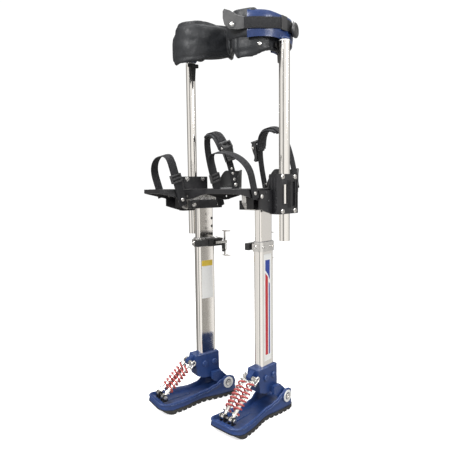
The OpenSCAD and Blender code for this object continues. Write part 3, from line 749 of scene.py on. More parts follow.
def make_tread(side):
    spec = [
        (5.0, groove),
        (1.0, groove),
        (-0.4, lambda y: groove(y) + 1.0),
        (-1.0, lambda y: min(groove(y) + 3.0, sole_base(y) - 1.5)),
        (-1.0, lambda y: sole_base(y) - 1.0),
        (-0.4, lambda y: sole_base(y) - 0.1),
        (2.0, lambda y: sole_base(y) - 0.1),
    ]
    s = Shape()
    s.add(*sole_surface(spec, 190, lambda y: sole_base(y) - 0.1, groove))
    make("tread_lugs", side, s, RUBBER, "sole", ["tread"], sharp=40)


SPRING_X = 15
SPRING_LEN = math.hypot(EYE_Y - TOE_PIN_Y, EYE_Z - TOE_PIN_Z)
COIL_R, WIRE_R, COIL_TURNS = 10.2, 2.7, 7


def spring_frame(x):
    tilt = math.atan2(EYE_Y - TOE_PIN_Y, EYE_Z - TOE_PIN_Z)
    return Matrix.Translation((x, TOE_PIN_Y, TOE_PIN_Z)) @ Matrix.Rotation(-tilt, 4, "X")


def make_springs(side):
    """Red coils that run from the seat on the barrels to the seat on the rods."""
    low, high = 19.8, SPRING_LEN - 16.8
    s = Shape()
    steps = COIL_TURNS * 26
    for x in (-SPRING_X, SPRING_X):
        path = []
        for i in range(steps + 1):
            t = i / steps
            turn = math.tau * COIL_TURNS * t
            closing = 0.5 * (smooth(t / 0.1) + 1 - smooth((1 - t) / 0.1))
            rise = low + (high - low) * (0.9 * t + 0.1 * closing)
            path.append((COIL_R * math.cos(turn), COIL_R * math.sin(turn), rise))
        wire = [1.0] + [WIRE_R] * (len(path) - 2) + [1.0]
        s.add(*swept(path, wire, 10), 0, spring_frame(x))
    piece = make("spring_coils", side, s, RED, None, ["coil_springs"])
    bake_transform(piece)


def make_foot_details(side):
    """Axle ends, screw caps and the hooks over the springs' upper eyes."""
    s = Shape()
    for sign in (-1, 1):
        bolt(s, (sign * 50.1, HEEL_Y, HEEL_Z), (sign, 0, 0), 8.6, 1.6)
    make("axle_ends", side, s, STEEL, "sole")
    s = Shape()
    for sign in (-1, 1):
        for y in (-18, 18):
            cap = [(TIP, 0), (8.6, 0), (8.8, 4.2), (7.6, 5.4), (4.0, 5.9), (TIP, 6.0)]
            s.add(*turned(cap, 32), 0, aim((sign * 21.0, y, 120), (sign, 0, 0)))
    make("shank_bolt_caps", side, s, BLUE, "shank", sharp=30)
    s = Shape()
    hook = [(22, 0, 0), (24, 1, 4), (24.5, 7, 7), (24.5, 12, 2), (24.5, 10, -5), (24.2, 3, -8),
            (23.5, -3, -14), (22, -5, -18)]
    for sign in (-1, 1):
        path = [(sign * x, EYE_Y + y, EYE_Z + z) for x, y, z in hook]
        s.add(*swept(resampled(path, 40), 2.3, 12))
    make("spring_hooks", side, s, STEEL, "shank")
    s = Shape()
    profile = [(TIP, 0), (6, 0), (6.4, 2), (5.6, 4.6), (3.4, 6.2), (TIP, 6.6)]
    s.add(*turned(profile, 28), 0, aim((0, 35.5, 112), (0, 1, 0)))
    rim = [(-20.4, -49, 149.2), (20.4, -49, 149.2), (20.4, 35, 149.2), (-20.4, 35, 149.2)]
    rim = resampled(rim, 60, closed=True)
    s.add(*swept(rim, 1.5, 8, closed=True))
    make("shank_knob", side, s, BLUE, "shank")


# ---- poles

POLE_FACE = 15.02


def make_labels(side):
    """Plain unlettered films: stripes outside the left pole, a panel inside the right one."""
    s = Shape()
    if side == "left":
        name, films = "pole_stripes", [LABEL_WHITE, LABEL_RED, LABEL_BLUE]
        s.add(*plate_x([(-17, 168), (17, 168), (17, 488), (-17, 488)], POLE_FACE, POLE_FACE + 0.25), 0)
        for outline, film in (([(-11, 186), (1, 186), (1, 420), (-11, 432)], 1),
                              ([(5, 186), (10, 186), (10, 398), (5, 404)], 2),
                              ([(-11, 440), (1, 428), (10, 410), (10, 470), (-11, 470)], 2)):
            s.add(*plate_x(outline, POLE_FACE + 0.2, POLE_FACE + 0.4), film)
    else:
        name, films = "pole_panel", [LABEL_WHITE, LABEL_YELLOW]
        s.add(*plate_x([(-20, 330), (20, 330), (20, 452), (-20, 452)], -POLE_FACE - 0.25, -POLE_FACE), 0)
        s.add(*plate_x([(-20, 434), (20, 434), (20, 452), (-20, 452)], -POLE_FACE - 0.4, -POLE_FACE - 0.2), 1)
    make(name, side, s, films, "shank", flat=True)


def make_collar_details(side):
    """Screws of the collar, the housing beside it and the wire that holds the latch lever down."""
    s = Shape()
    bolt(s, (18.1, -22, COLLAR_Z), (1, 0, 0), 5.0, 2.4)
    bolt(s, (18.1, 10, COLLAR_Z), (1, 0, 0), 4.0, 1.8)
    s.add(*block((-12, -38.4, COLLAR_Z - 10), (12, -35.0, COLLAR_Z + 10)))
    bolt(s, (0, -38.4, COLLAR_Z), (0, -1, 0), 5.2, 3.0)
    make("collar_screws", side, s, STEEL, "shank", bevel=0.5)
    s = Shape()
    arm = [(-27, -44, COLLAR_Z + 6), (-24, -30, COLLAR_Z + 7), (-22.6, -10, COLLAR_Z + 7),
           (-24.6, 0, COLLAR_Z + 7)]
    s.add(*block((-33, -46, COLLAR_Z - 10), (-18.2, -4, COLLAR_Z + 10)))
    s.add(*swept(arm, 2.6, 10))
    make("latch_housing", side, s, BLACK, "shank", bevel=1.6)
    s = Shape()
    wire = [(-34, 62, -24), (-38, 60, -8), (-37.5, 45, 12), (-36, 20, 18)]
    s.add(*swept(resampled([(x, y, COLLAR_Z + z) for x, y, z in wire], 24), 1.1, 8))
    make("latch_spring_wire", side, s, STEEL, "shank")


# ---- platform

def make_bracket(side):
    """Ribs, slot lip and dimples on the side bracket."""
    s = Shape()
    for y in (-1.6, 7.4, 31.6, 40.0):
        s.add(*block((88.0, y - 1.6, DECK_Z - 54), (91.8, y + 1.6, DECK_Z + 22)))
    for x in (76.0, 66.0):
        s.add(*block((x - 1.6, -44.8, DECK_Z - 62), (x + 1.6, -42.0, DECK_Z + 30)))
    corners = ((-26.6, -44.6), (-6.4, -44.6), (-6.4, 11.6), (-26.6, 11.6))
    slot = resampled([(90.2, y, DECK_Z + z) for y, z in corners], 48, closed=True)
    s.add(*swept(slot, 1.5, 8, closed=True))
    dimple = [(TIP, 0), (4.6, 0), (4.8, 1.0), (3.4, 1.6), (TIP, 1.2)]
    for y, z in ((-72, DECK_Z - 12), (-60, DECK_Z - 34)):
        s.add(*turned(dimple, 24), 0, aim((68.0, y, z), (1, 0, 0)))
    make("bracket_ribs", side, s, PAINT, "upper", bevel=0.8)


def make_bolts(side):
    """All the screws of the platform, the bracket and the saddle, with their shanks."""
    s = Shape()
    high, low = DECK_Z + 31, DECK_Z - 63
    for y in (-30, 28):
        for z, start in ((low, 57.2), (high, 48.2)):
            bolt(s, (90.1, y, z), (1, 0, 0), 7.0, 4.4)
            shank(s, (start, y, z), (1, 0, 0), 3.9, 90 - start)
        nut(s, (51.0, y, high), (-1, 0, 0), 7.0, 3.4)
    for y in (-54, 36):
        bolt(s, (-33.1, y, DECK_Z - 48), (-1, 0, 0), 7.6, 4.4)
        nut(s, (33.1, y, DECK_Z - 48), (1, 0, 0), 7.2, 4.4)
        shank(s, (-33, y, DECK_Z - 48), (1, 0, 0), 3.9, 66)
    for y in (-18, 18):
        for sign in (-1, 1):
            bolt(s, (sign * 19.1, y, DECK_Z - 20), (sign, 0, 0), 6.8, 3.2)
        shank(s, (-19, y, DECK_Z - 20), (1, 0, 0), 3.9, 38)
    bolt(s, (68.1, -92, DECK_Z - 21), (1, 0, 0), 6.0, 3.0)
    nut(s, (58.6, -92, DECK_Z - 21), (-1, 0, 0), 5.2, 2.4)
    shank(s, (58, -92, DECK_Z - 21), (1, 0, 0), 2.9, 11)
    make("frame_screws", side, s, STEEL, "upper", ["bracket_bolts"])


CUP_Y, CUP_R, CUP_T = 80, 56, 4


def make_heel_cup(side):
    """Curved heel wall, low at the sides and higher at the back, with a rolled top edge."""
    s = Shape()
    count = 64
    first, last = math.radians(-8), math.radians(188)
    low = DECK_Z + 0.3
    rings = []
    for i in range(count + 1):
        a = first + (last - first) * i / count
        back = max(0.0, math.sin(a))
        top = DECK_Z + 12 + 44 * smooth(back * 1.5) + 2.0 * math.sin(2 * a) ** 2
        mid = (low + top) / 2
        flare = 1.6 * smooth((back - 0.2) * 1.4)
        outer, inner = CUP_R + flare, CUP_R - CUP_T + flare
        section = [(CUP_R - CUP_T, low), (CUP_R, low), (CUP_R + 0.6, mid), (outer, top - 5),
                   (outer + 0.9, top - 2.2), (outer, top), (outer - 2, top + 0.8), (inner - 0.8, top),
                   (inner - 0.4, top - 3), (CUP_R - CUP_T + 0.6, mid)]
        rings.append([(r * math.cos(a), CUP_Y + r * math.sin(a), z) for r, z in section])
    s.add(*strips(rings, flip=True))
    make("heel_wall", side, s, BLACK, "upper", ["heel_cup"], sharp=50)


# ---- straps

TOE_STRAP = Matrix.Translation((0, -117, DECK_Z - 15)) @ Matrix.Rotation(math.radians(17), 4, "X")
ANKLE_STRAP = Matrix.Translation((0, 82, DECK_Z + 11)) @ Matrix.Rotation(math.radians(16), 4, "X")
TOE_HALF, TOE_LEG, TOE_RISE, TOE_SKEW = 66, 44, 74, 30
ANKLE_HALF, ANKLE_LEG, ANKLE_RISE = 59, 14, 158


def arch(half, leg, rise, a, skew=0.0):
    """Point of a strap's arch at angle a from its outer leg; skew moves the crown toward the inner leg."""
    c, s = math.cos(math.radians(a)), math.sin(math.radians(a))
    return Vector((half * math.copysign(abs(c) ** 0.75, c) - skew * s * s, 0, leg + rise * abs(s) ** 0.8))


def outward_of(path):
    """Unit vectors square to the path in its own x-z plane."""
    out = []
    for i in range(len(path)):
        t = path[min(i + 1, len(path) - 1)] - path[max(i - 1, 0)]
        out.append(Vector((t.z, 0, -t.x)).normalized())
    return out


def strap_path(half, leg, rise, down_out, down_in, skew=0.0):
    """A strap from its outer leg over the arch to its inner leg, with how far below zero each leg reaches."""
    path = [(half, 0, down_out), (half, 0, leg * 0.5)]
    path += [arch(half, leg, rise, a, skew) for a in range(0, 181, 4)]
    path += [(-half, 0, leg * 0.5), (-half, 0, down_in)]
    return resampled(path, 110)


def lay_strap(shape, matrix, path, width, thick):
    """Adds a strap that follows a path in its own x-z plane."""
    points, faces, uv = ribbon(path, REARWARD, outward_of(path), width, thick)
    shape.add(points, faces, 0, matrix, uv)


def make_toe_strap(side):
    """Webbing over the toes, with its loose end folded back on the inner side."""
    s = Shape()
    path = strap_path(TOE_HALF, TOE_LEG, TOE_RISE, -12, -34, TOE_SKEW)
    lay_strap(s, TOE_STRAP, path, 25, 2.4)
    fold = [p for p in path if p.x < 0 and -20 < p.z < 96]
    fold = [p + (n if p.z >= 60 else Vector((-1, 0, 0))) * 2.7 for p, n in zip(fold, outward_of(fold))]
    lay_strap(s, TOE_STRAP, fold, 24, 2.2)
    make("toe_webbing", side, s, WEBBING, "upper", ["toe_strap"])


def ankle_path():
    return strap_path(ANKLE_HALF, ANKLE_LEG, ANKLE_RISE, -14, -14)


def make_ankle_strap(side):
    """Webbing over the ankle, the dimpled pad under it and the toothed ladder on its inner side."""
    s = Shape()
    path = ankle_path()
    lay_strap(s, ANKLE_STRAP, path, 24, 3.0)
    make("ankle_webbing", side, s, WEBBING, "upper", ["ankle_strap"])

    s = Shape()
    band = resampled([arch(ANKLE_HALF, ANKLE_LEG, ANKLE_RISE, a) for a in range(62, 151, 2)], 70)
    normals = outward_of(band)
    middle = [p - n * 5.4 for p, n in zip(band, normals)]
    ends = [min(i, len(middle) - 1 - i) for i in range(len(middle))]
    widths = [42 * (0.62 + 0.38 * smooth(end / 9)) for end in ends]
    thick = [7.2 * (0.5 + 0.5 * smooth(end / 7)) for end in ends]
    points, faces, uv = ribbon(middle, REARWARD, normals, widths, thick, 0.5)
    s.add(points, faces, 0, ANKLE_STRAP, uv)
    dimple = turned([(TIP, 0), (2.3, 0), (2.6, 1.2), (1.7, 1.7), (0.9, 0.7), (TIP, 0.6)], 12)
    for i in range(5, len(middle) - 4, 4):
        for y in (-15, -7.5, 0, 7.5, 15):
            spot = middle[i] + Vector((0, y, 0)) - normals[i] * (thick[i] / 2 - 0.6)
            s.add(*dimple, 1, ANKLE_STRAP @ aim(spot, -normals[i]))
    make("ankle_pad", side, s, [LINING, DARK], "upper")

    s = Shape()
    ladder = [p for p in path if p.x < 0 and p.z < 100]
    for spot, normal in list(zip(ladder, outward_of(ladder)))[::2]:
        if spot.z > 52:
            lean = Matrix.Rotation(math.atan2(normal.x, normal.z) - math.pi / 2, 4, "Y")
            tooth = ANKLE_STRAP @ Matrix.Translation(spot + normal * 1.5) @ lean
            s.add(*block((-0.1, -8, -1.0), (1.5, 8, 1.0)), 0, tooth)
    make("ankle_ladder", side, s, BLACK, "upper", bevel=0.4)


def make_buckles(side):
    """Ratchet frame on the ankle strap, slide on the toe strap, their screws, and the ratchet's lever."""
    here = (ANKLE_STRAP @ Matrix.Translation(arch(ANKLE_HALF, ANKLE_LEG, ANKLE_RISE, 150))
            @ Matrix.Rotation(math.radians(10), 4, "Y"))
    s = Shape()
    for z0, z1 in ((-30, -24), (26, 33)):
        s.add(*block((-5.4, -17.5, z0), (-2.6, 17.5, z1)), 0, here)
    for y0, y1 in ((-17.5, -12.5), (12.5, 17.5)):
        s.add(*block((-5.4, y0, -27), (-2.6, y1, 30)), 0, here)
    for z in (-14, -3, 8, 19):
        s.add(*block((-7.2, -13.2, z - 2.4), (-3.4, 13.2, z + 2.4)), 0, here)
    cheek = [(-5.0, -30), (-5.0, 33), (-11, 33), (-17, 27), (-18.5, 16), (-15.5, 2), (-9.5, -12), (-8.0, -30)]
    for y0, y1 in ((-18.2, -14.4), (14.4, 18.2)):
        s.add(*plate_y(cheek, y0, y1), 0, here)
    s.add(*swept([(-12, -22.0, 13), (-12, 19.0, 13)], 2.4, 14), 1, here)
    s.add(*swept([(-13, -24.5, 30), (-13, 18.4, 30)], 2.8, 14), 0, here)
    for sign in (-1, 1):
        bolt(s, here @ Vector((-12, sign * 19.4, 13)), here.to_3x3() @ Vector((0, sign, 0)), 4.6, 1.8, 1)

    slide = TOE_STRAP @ Matrix.Translation((-TOE_HALF, 0, 48))
    for x0, x1 in ((-5.6, -3.4), (1.6, 3.8)):
        for z0, z1 in ((-12, -7.5), (-2, 2.2), (8, 12)):
            s.add(*block((x0, -17, z0), (x1, 17, z1)), 0, slide)
    for y0, y1 in ((-17, -13.6), (13.6, 17)):
        s.add(*block((-5.6, y0, -12), (3.8, y1, 12)), 0, slide)
    make("strap_frames", side, s, [DARK, STEEL], "upper", bevel=0.6)

    s = Shape()
    for x in (-1, 1):
        bolt(s, ANKLE_STRAP @ Vector((x * (ANKLE_HALF + 1.6), 0, 0)), (x, 0, 0), 6.0, 2.6)
        nut(s, ANKLE_STRAP @ Vector((x * (ANKLE_HALF - 7.1), 0, 0)), (-x, 0, 0), 5.4, 2.6)
        rod = turned([(TIP, 0), (3.8, 0), (3.8, 9), (TIP, 9)], 20)
        s.add(*rod, 0, ANKLE_STRAP @ aim((x * (ANKLE_HALF - 7.2), 0, 0), (x, 0, 0)))
    bolt(s, TOE_STRAP @ Vector((TOE_HALF + 1.3, 0, 3)), (1, 0, 0), 5.2, 2.2)
    bolt(s, TOE_STRAP @ Vector((-TOE_HALF - 4.0, 0, -16)), (-1, 0, 0), 5.2, 2.2)
    path = ankle_path()
    lower = [(p, n) for p, n in zip(path, outward_of(path)) if p.x < 0 and p.z < 62]
    for height in (18, 36, 52):
        p, n = min(lower, key=lambda pair: abs(pair[0].z - height))
        bolt(s, ANKLE_STRAP @ (p + n * 1.5), ANKLE_STRAP.to_3x3() @ n, 4.4, 1.8)
    make("strap_rivets", side, s, STEEL, "upper", ["strap_buckles"])

    s = Shape()
    lever = [(-9.2, -28), (-9.2, 10), (-10.5, 16), (-14, 17), (-16.5, 13), (-14.6, 4), (-13.6, -20),
             (-16.5, -29), (-13, -31)]
    s.add(*plate_y(lever, -13.4, 13.4), 0, here)
    for z in (-20, -14, -8, -2):
        s.add(*block((-15.2, -10, z - 1.2), (-13.4, 10, z + 1.2)), 0, here)
    make("ratchet_lever", side, s, BLACK, "buckle", ["buckle_lever"], bevel=1.0)


# ---- cuff

PAD_X, PAD_R, PAD_STRETCH, PAD_T = -17, 71, 26, 14
PAD_HIGH = LEG_TOP + 84
BAND_X, BAND_R, BAND_STRETCH = -16, 86, 18
STRAP_LOW = LEG_TOP + 30


def oval(cx, r, stretch, count):
    """(point, outward direction) round an oval, from the middle of its front past the outside to the back."""
    path = []
    for a in range(0, 91, 5):
        path.append((r * math.sin(math.radians(a)), -stretch - r * math.cos(math.radians(a))))
    for a in range(90, 181, 5):
        path.append((r * math.sin(math.radians(a)), stretch - r * math.cos(math.radians(a))))
    path += [(-x, y) for x, y in path[-2:0:-1]]
    points = resampled([(x, y, 0) for x, y in path], count, closed=True)
    out = []
    for i, p in enumerate(points):
        t = points[(i + 1) % count] - points[i - 1]
        out.append((Vector((cx + p.x, p.y, 0)), Vector((t.y, -t.x, 0)).normalized()))
    return out


def off_oval(p, cx, stretch):
    """(distance from the oval's middle line, outward direction) of a point."""
    dx, dy = p.x - cx, max(0.0, abs(p.y) - stretch) * math.copysign(1, p.y)
    away = Vector((dx, dy, 0))
    return away.length, away.normalized()


# Direction in plan away from a viewer in front, as (x, y) in each stilt's own frame
AWAY = {"left": (-0.621, 0.783), "right": (0.857, 0.516)}


def liner_low(side, p, d):
    """Height of the liner's lower edge, which climbs toward the back and away from a viewer in front."""
    back = smooth((p.y + 90) / 170)
    away = AWAY[side][0] * d.x + AWAY[side][1] * d.y
    if side == "right":
        return LEG_TOP - 35 + 26 * back + 24 * smooth(away + 0.35)
    outside = 16 * max(0.0, (d.x - 0.55) / 0.45) ** 1.5
    return LEG_TOP - 47 + 10 * back + outside + 13 * smooth(-d.x / 0.3) + 40 * smooth((away + 0.7) / 1.7)


def liner_high(side, d, share):
    """Height of its upper edge, rounded down toward both ends."""
    drop = 34 if side == "right" else 18
    return PAD_HIGH - 8 * max(0.0, d.x) - drop * (1 - smooth(share / 0.1)) ** 1.3


# Size of the cells the liner is remeshed in and how far the cloth may puff it, both in millimetres
LINER_VOXEL, LINER_PUFF = 4, 3.2
CLOTH_FRAMES = 20
LINER_CLOTH = {
    "quality": 5, "mass": 0.3, "tension_stiffness": 8, "compression_stiffness": 4, "bending_stiffness": 0.3,
    "shrink_min": -0.03, "use_pressure": True, "uniform_pressure_force": 4.0,
}


def cloth_puffed(points, faces, cap):
    """Inflates a closed soft body as cloth, each point moving no further than cap, and smooths it."""
    mesh = bpy.data.meshes.new("soft")
    mesh.from_pydata([Vector(p) * MM for p in points], [], faces)
    body = placed("soft", mesh)
    remesh = body.modifiers.new("remesh", "REMESH")
    remesh.mode = "VOXEL"
    remesh.voxel_size = LINER_VOXEL * MM
    start = taken(body)
    body.modifiers.remove(remesh)
    body.data = start
    rest = [v.co.copy() for v in start.vertices]
    cloth = body.modifiers.new("cloth", "CLOTH")
    for key, value in LINER_CLOTH.items():
        setattr(cloth.settings, key, value)
    cloth.settings.effector_weights.gravity = 0.0
    cloth.collision_settings.use_collision = False
    for step in range(1, CLOTH_FRAMES + 1):
        bpy.context.scene.frame_set(step)
    soft = taken(body)
    body.modifiers.remove(cloth)
    for v, home in zip(soft.vertices, rest):
        move = v.co - home
        if move.length > cap * MM:
            v.co = home + move.normalized() * cap * MM
    body.data = soft
    bpy.context.scene.frame_set(1)
    finer = body.modifiers.new("finer", "SUBSURF")
    finer.levels = 1
    done = taken(body)
    out = [v.co / MM for v in done.vertices], [list(f.vertices) for f in done.polygons]
    bpy.data.objects.remove(body)
    return out


def taken(body):
    """The body's mesh with its modifiers applied."""
    seen = body.evaluated_get(bpy.context.evaluated_depsgraph_get())
    return bpy.data.meshes.new_from_object(seen)


# Where the liner's two ends stand on its front, from its middle: the outer end, then the inner one
LINER_GAP = {"left": (-20, -27), "right": (38, 31)}
LINER_COUNT = 240


def liner_run(side):
    """Ring of the liner from one side of its front gap to the other."""
    ring = oval(PAD_X, PAD_R, PAD_STRETCH, LINER_COUNT)
    start, stop = (next(i for i in range(-60, 60) if ring[i][0].x > PAD_X + end) for end in LINER_GAP[side])
    return [ring[i % LINER_COUNT] for i in range(start, stop + LINER_COUNT)]


def liner_channel(side, share, level):
    """Depth of the sewn channels pressed into the liner's outer face."""
    depth = 1.5 * bell(level, 0.13, 0.05) + 2.0 * bell(level, 0.9, 0.035)
    depth += 2.0 * (bell(share, 0.045, 0.008) + bell(share, 0.955, 0.008))
    fold = math.sin(6.0 * level + 9 * share + 1.4 * math.sin(23 * share))
    if side == "left":
        near = bell(share, 0.2, 0.12) + bell(share, 0.93, 0.06)
        depth += 1.4 * near * (0.5 + 0.5 * math.sin(15 * level + 16 * share))
    return depth + 0.5 * fold


def level_point(p, d, out, low, high, level):
    """Point out of the ring at p by out, at the level from 0 to 1 between two heights."""
    return p + d * out + UP * (low + (high - low) * level)


def make_cuff_pad(side):
    """Soft liner: a thick padded wall that wraps the calf, with piped edges either side of its front gap."""
    run = liner_run(side)
    n = len(run)
    steps = 36
    rings = []
    for i, (p, d) in enumerate(run):
        end = min(i, n - 1 - i)
        fade = math.sqrt(1 - (1 - min(1.0, (end + 0.4) / 3.4)) ** 2)
        low = liner_low(side, p, d) + 16 * (1 - smooth(end / 11))
        high = liner_high(side, d, end / n)
        wall = (PAD_T - 2.5) * (0.35 + 0.65 * fade)
        middle = -PAD_T / 2
        if p.x > PAD_X + 40 and abs(p.y - LEG_Y) < 40:
            middle -= 3.4 * smooth((40 - abs(p.y - LEG_Y)) / 8)
        row = []
        for k in range(steps):
            a = math.tau * k / steps
            ca, sa = math.cos(a), math.sin(a)
            u = math.copysign(abs(ca) ** 0.7, ca)
            v = math.copysign(abs(sa) ** 0.35, sa)
            row.append(level_point(p, d, middle + wall / 2 * u, low, high, (1 + v) / 2))
        rings.append(row)
    points, faces = cloth_puffed(*strips(rings), LINER_PUFF)
    marks = [0.0]
    for one, two in zip(run, run[1:]):
        marks.append(marks[-1] + (two[0] - one[0]).length)
    out = []
    for p in points:
        r, d = off_oval(p, PAD_X, PAD_STRETCH)
        if r > PAD_R - PAD_T / 2:
            i = nearest(run, p)
            low = liner_low(side, run[i][0], d)
            depth = liner_channel(side, marks[i] / marks[-1], (p.z - low) / (PAD_HIGH - low))
            p = p - d * depth * smooth((r - PAD_R + PAD_T / 2) / 3)
            shift = 7 if side == "left" else 0
            crease = noise.noise(Vector((p.x * 0.03, p.y * 0.03, p.z * 0.045 + shift)))
            near_tube = p.x > PAD_X + 36 and abs(p.y - LEG_Y) < 44
            p = p + d * (0.4 if near_tube else 1.8) * crease
        out.append(p)
    s = Shape()
    s.add(out, faces)
    make("calf_liner", side, s, LINING, "cuff", ["cuff_pad"], sharp=80)

    s = Shape()
    for i in (4, n - 5):
        p, d = run[i]
        low = liner_low(side, p, d) + 14
        high = liner_high(side, d, 5 / n) - 8
        edge = [level_point(p, d, 0.8 - 3.2 * (k / 15 - 1) ** 6, low, high, k / 30) for k in range(31)]
        s.add(*bead(edge, 1.7, 0.5))
    make("liner_piping", side, s, WEBBING, "cuff")


def nearest(run, p):
    """Index of the ring point closest to p in plan."""
    return min(range(len(run)), key=lambda i: (run[i][0].x - p.x) ** 2 + (run[i][0].y - p.y) ** 2)


# Where the shell's front and back ends stand in x; the front one differs from side to side
SHELL_FRONT = {"left": 22, "right": 58}
SHELL_BACK = -46


def shell_run(radius, front, back, count=LINER_COUNT):
    """Part of an oval from x = front on the toe side, round the outside, to x = back behind the calf."""
    ring = oval(BAND_X, radius, BAND_STRETCH, count)
    if front > BAND_X:
        first = next(i for i, (p, d) in enumerate(ring) if p.x > front)
    else:
        first = -next(i for i, (p, d) in enumerate(reversed(ring)) if p.x <= front)
    last = next(i for i, (p, d) in enumerate(ring) if p.x <= back and p.y > 0)
    return [ring[i] for i in range(first, last)]


def make_cuff_shell(side):
    """Blue shell round the outside of the liner, on the plate that turns on the leg tube's cap."""
    run = shell_run(BAND_R, SHELL_FRONT[side], SHELL_BACK)
    section = ((-2.9, 0.02), (-0.2, 0.0), (0.0, 0.05), (1.6, 0.2), (2.2, 0.3), (0.6, 0.37), (0.0, 0.42),
               (0.0, 0.62), (0.6, 0.68), (0.8, 0.8), (-1.4, 0.96), (-2.6, 1.0), (-4.4, 0.985), (-3.6, 0.9),
               (-3.0, 0.5))
    rings = []
    for i, (p, d) in enumerate(run):
        front = smooth(i / 26)
        end = smooth((len(run) - 1 - i) / 14)
        side_out = max(0.0, d.x)
        low = LEG_TOP - 3 + 8 * side_out
        if side == "right":
            low = LEG_TOP + 20 - 15 * smooth((28 - abs(p.y - LEG_Y)) / 12)
        low += 16 * (1 - end)
        high = LEG_TOP + 84 - 14 * side_out ** 2 - 8 * (1 - front) - 24 * (1 - end)
        rings.append([level_point(p, d, depth, low, high, level) for depth, level in section])
    s = Shape()
    s.add(*strips(rings))
    plate = [(TIP, 0), (13, 0), (14, 0.8), (14, 3.4), (13, 4.1), (TIP, 4.1)]
    s.add(*turned(plate, 40), 0, Matrix.Translation((LEG_X, LEG_Y, LEG_TOP + 5.2)))
    s.add(*block((LEG_X - 9, LEG_Y - 13, LEG_TOP + 5.2), (LEG_X + 2, LEG_Y + 13, LEG_TOP + 10.2)))
    for y in (LEG_Y - 16, LEG_Y, LEG_Y + 16):
        s.add(*block((LEG_X - 3.6, y - 2, LEG_TOP + 9), (LEG_X - 1.5, y + 2, LEG_TOP + 30)))
    make("cuff_shell", side, s, SHELL, "cuff", ["cuff_band"], sharp=60)


def make_shell_cover(side):
    """Padded fabric from the left shell's front edge toward the calf opening."""
    if side == "right":
        return
    run = shell_run(BAND_R - 5.5, -52, 0)[:46]
    rings = []
    for i, (p, d) in enumerate(run):
        end = smooth(min(i, len(run) - 1 - i) / 7)
        low = LEG_TOP + 6 + 10 * (1 - end)
        high = LEG_TOP + 78 - 14 * (1 - smooth(i / 16)) - 10 * (1 - end)
        row = []
        for k in range(20):
            a = math.tau * k / 20
            u, v = math.cos(a), math.copysign(abs(math.sin(a)) ** 0.7, math.sin(a))
            out = 4.2 * u * (0.4 + 0.6 * end) + 0.9 * math.sin(i * 0.32 + v * 2.6) * end
            row.append(level_point(p, d, out, low, high, (1 + v) / 2))
        rings.append(row)
    s = Shape()
    s.add(*strips(rings))
    make("shell_cover", side, s, LINING, "cuff", sharp=80)


STRAP_R, STRAP_COUNT = BAND_R + 2.3, 260


def make_cuff_strap(side):
    """Fastening strap over the shell, with its end plate, loops, knob and the liner's rivets."""
    left = side == "left"
    run = shell_run(STRAP_R, 9 if left else 62, -36, STRAP_COUNT)
    z = STRAP_LOW + 17
    dips = [(1 - smooth((i - 24) / 34)) if left else 0.0 for i in range(len(run))]
    path = [p + d * (1.6 * dip) + UP * (z - 10 * dip) for (p, d), dip in zip(run, dips)]
    points, faces, uv = ribbon(path, UP, [d for p, d in run], 30, 2.3)
    s = Shape()
    s.add(points, [f[::-1] for f in faces], 0, uv=uv)
    make("cuff_webbing", side, s, WEBBING, "cuff", ["cuff_strap"])

    s = Shape()
    if left:
        add_end_plate(s, run[0], z - 10)
    loops = [(p, d) for p, d in oval(BAND_X, STRAP_R, BAND_STRETCH, STRAP_COUNT) if p.x > 20 and p.y > -21]
    for share, reach in ((0.06, 11), (0.5, 6)):
        at = int(len(loops) * share)
        part = loops[at:at + reach]
        path = [p + d * 3.2 + UP * z for p, d in part]
        points, faces, uv = ribbon(path, UP, [d for p, d in part], 38, 2.6, 0.4)
        s.add(points, [f[::-1] for f in faces])
    p, d = loops[int(len(loops) * 0.44)]
    knob = [(TIP, 0), (10, 0), (10, 3.4), (18.5, 3.6), (20.5, 5.2), (20.5, 9.5), (18, 11.6), (11, 12.2),
            (10, 10.6), (TIP, 10.4)]
    s.add(*turned(knob, 40), 0, aim(p + d * 4.4 + UP * (z - 10), d))
    make("cuff_fittings", side, s, [DARK, STEEL], "cuff", bevel=0.4)

    s = Shape()
    run = liner_run(side)
    for share, height in ((0.165, -13), (0.4, 12)) if left else ((0.05, 4), (0.35, 28)):
        p, d = run[int(len(run) * share)]
        bolt(s, p + d * 1.0 + UP * (LEG_TOP + height), d, 5.0, 2.2)
    make("liner_rivets", side, s, STEEL, "cuff")


def add_end_plate(s, first, z):
    """Flat plate on the strap's free end, standing off toward the front and inward."""
    p, d = first
    along = Vector((d.y, -d.x, 0))
    if along.x > 0:
        along.negate()
    flat = (along * 0.96 + d * 0.28).normalized()
    face = Vector((flat.y, -flat.x, 0))
    if face.dot(d) < 0:
        face.negate()
    outline = [(-12, -14), (8, -16), (32, -13), (45, 0), (49, 16), (49, 34), (45, 40), (30, 35), (10, 22),
               (-12, 15)]
    rings = []
    for depth, inset in ((0.6, 0.9), (1.4, 0.0), (3.8, 0.0), (4.6, 0.9)):
        shrunk = [(u - inset * math.copysign(1, u - 17), v - inset * math.copysign(1, v)) for u, v in outline]
        rings.append([p + flat * u + face * depth + UP * (z + v) for u, v in shrunk])
    s.add(*strips(rings))
    spot = p + flat * 25 + face * 4.6 + UP * (z - 1)
    washer = [(TIP, 0), (9.5, 0), (10, 0.9), (9, 1.5), (TIP, 0.7)]
    s.add(*turned(washer, 32), 0, aim(spot, face))
    bolt(s, spot + face * 0.6, face, 5.4, 2.6, 1)


MAKERS = (
    dress_frame, make_foot, make_tread, make_springs, make_foot_details, make_labels,
    make_collar_details, make_bracket, make_bolts, make_heel_cup, make_toe_strap, make_ankle_strap,
    make_buckles, make_cuff_pad, make_cuff_shell, make_shell_cover, make_cuff_strap,
)
for side in SIDES:
    for maker in MAKERS:
        maker(side)


# ---- stage

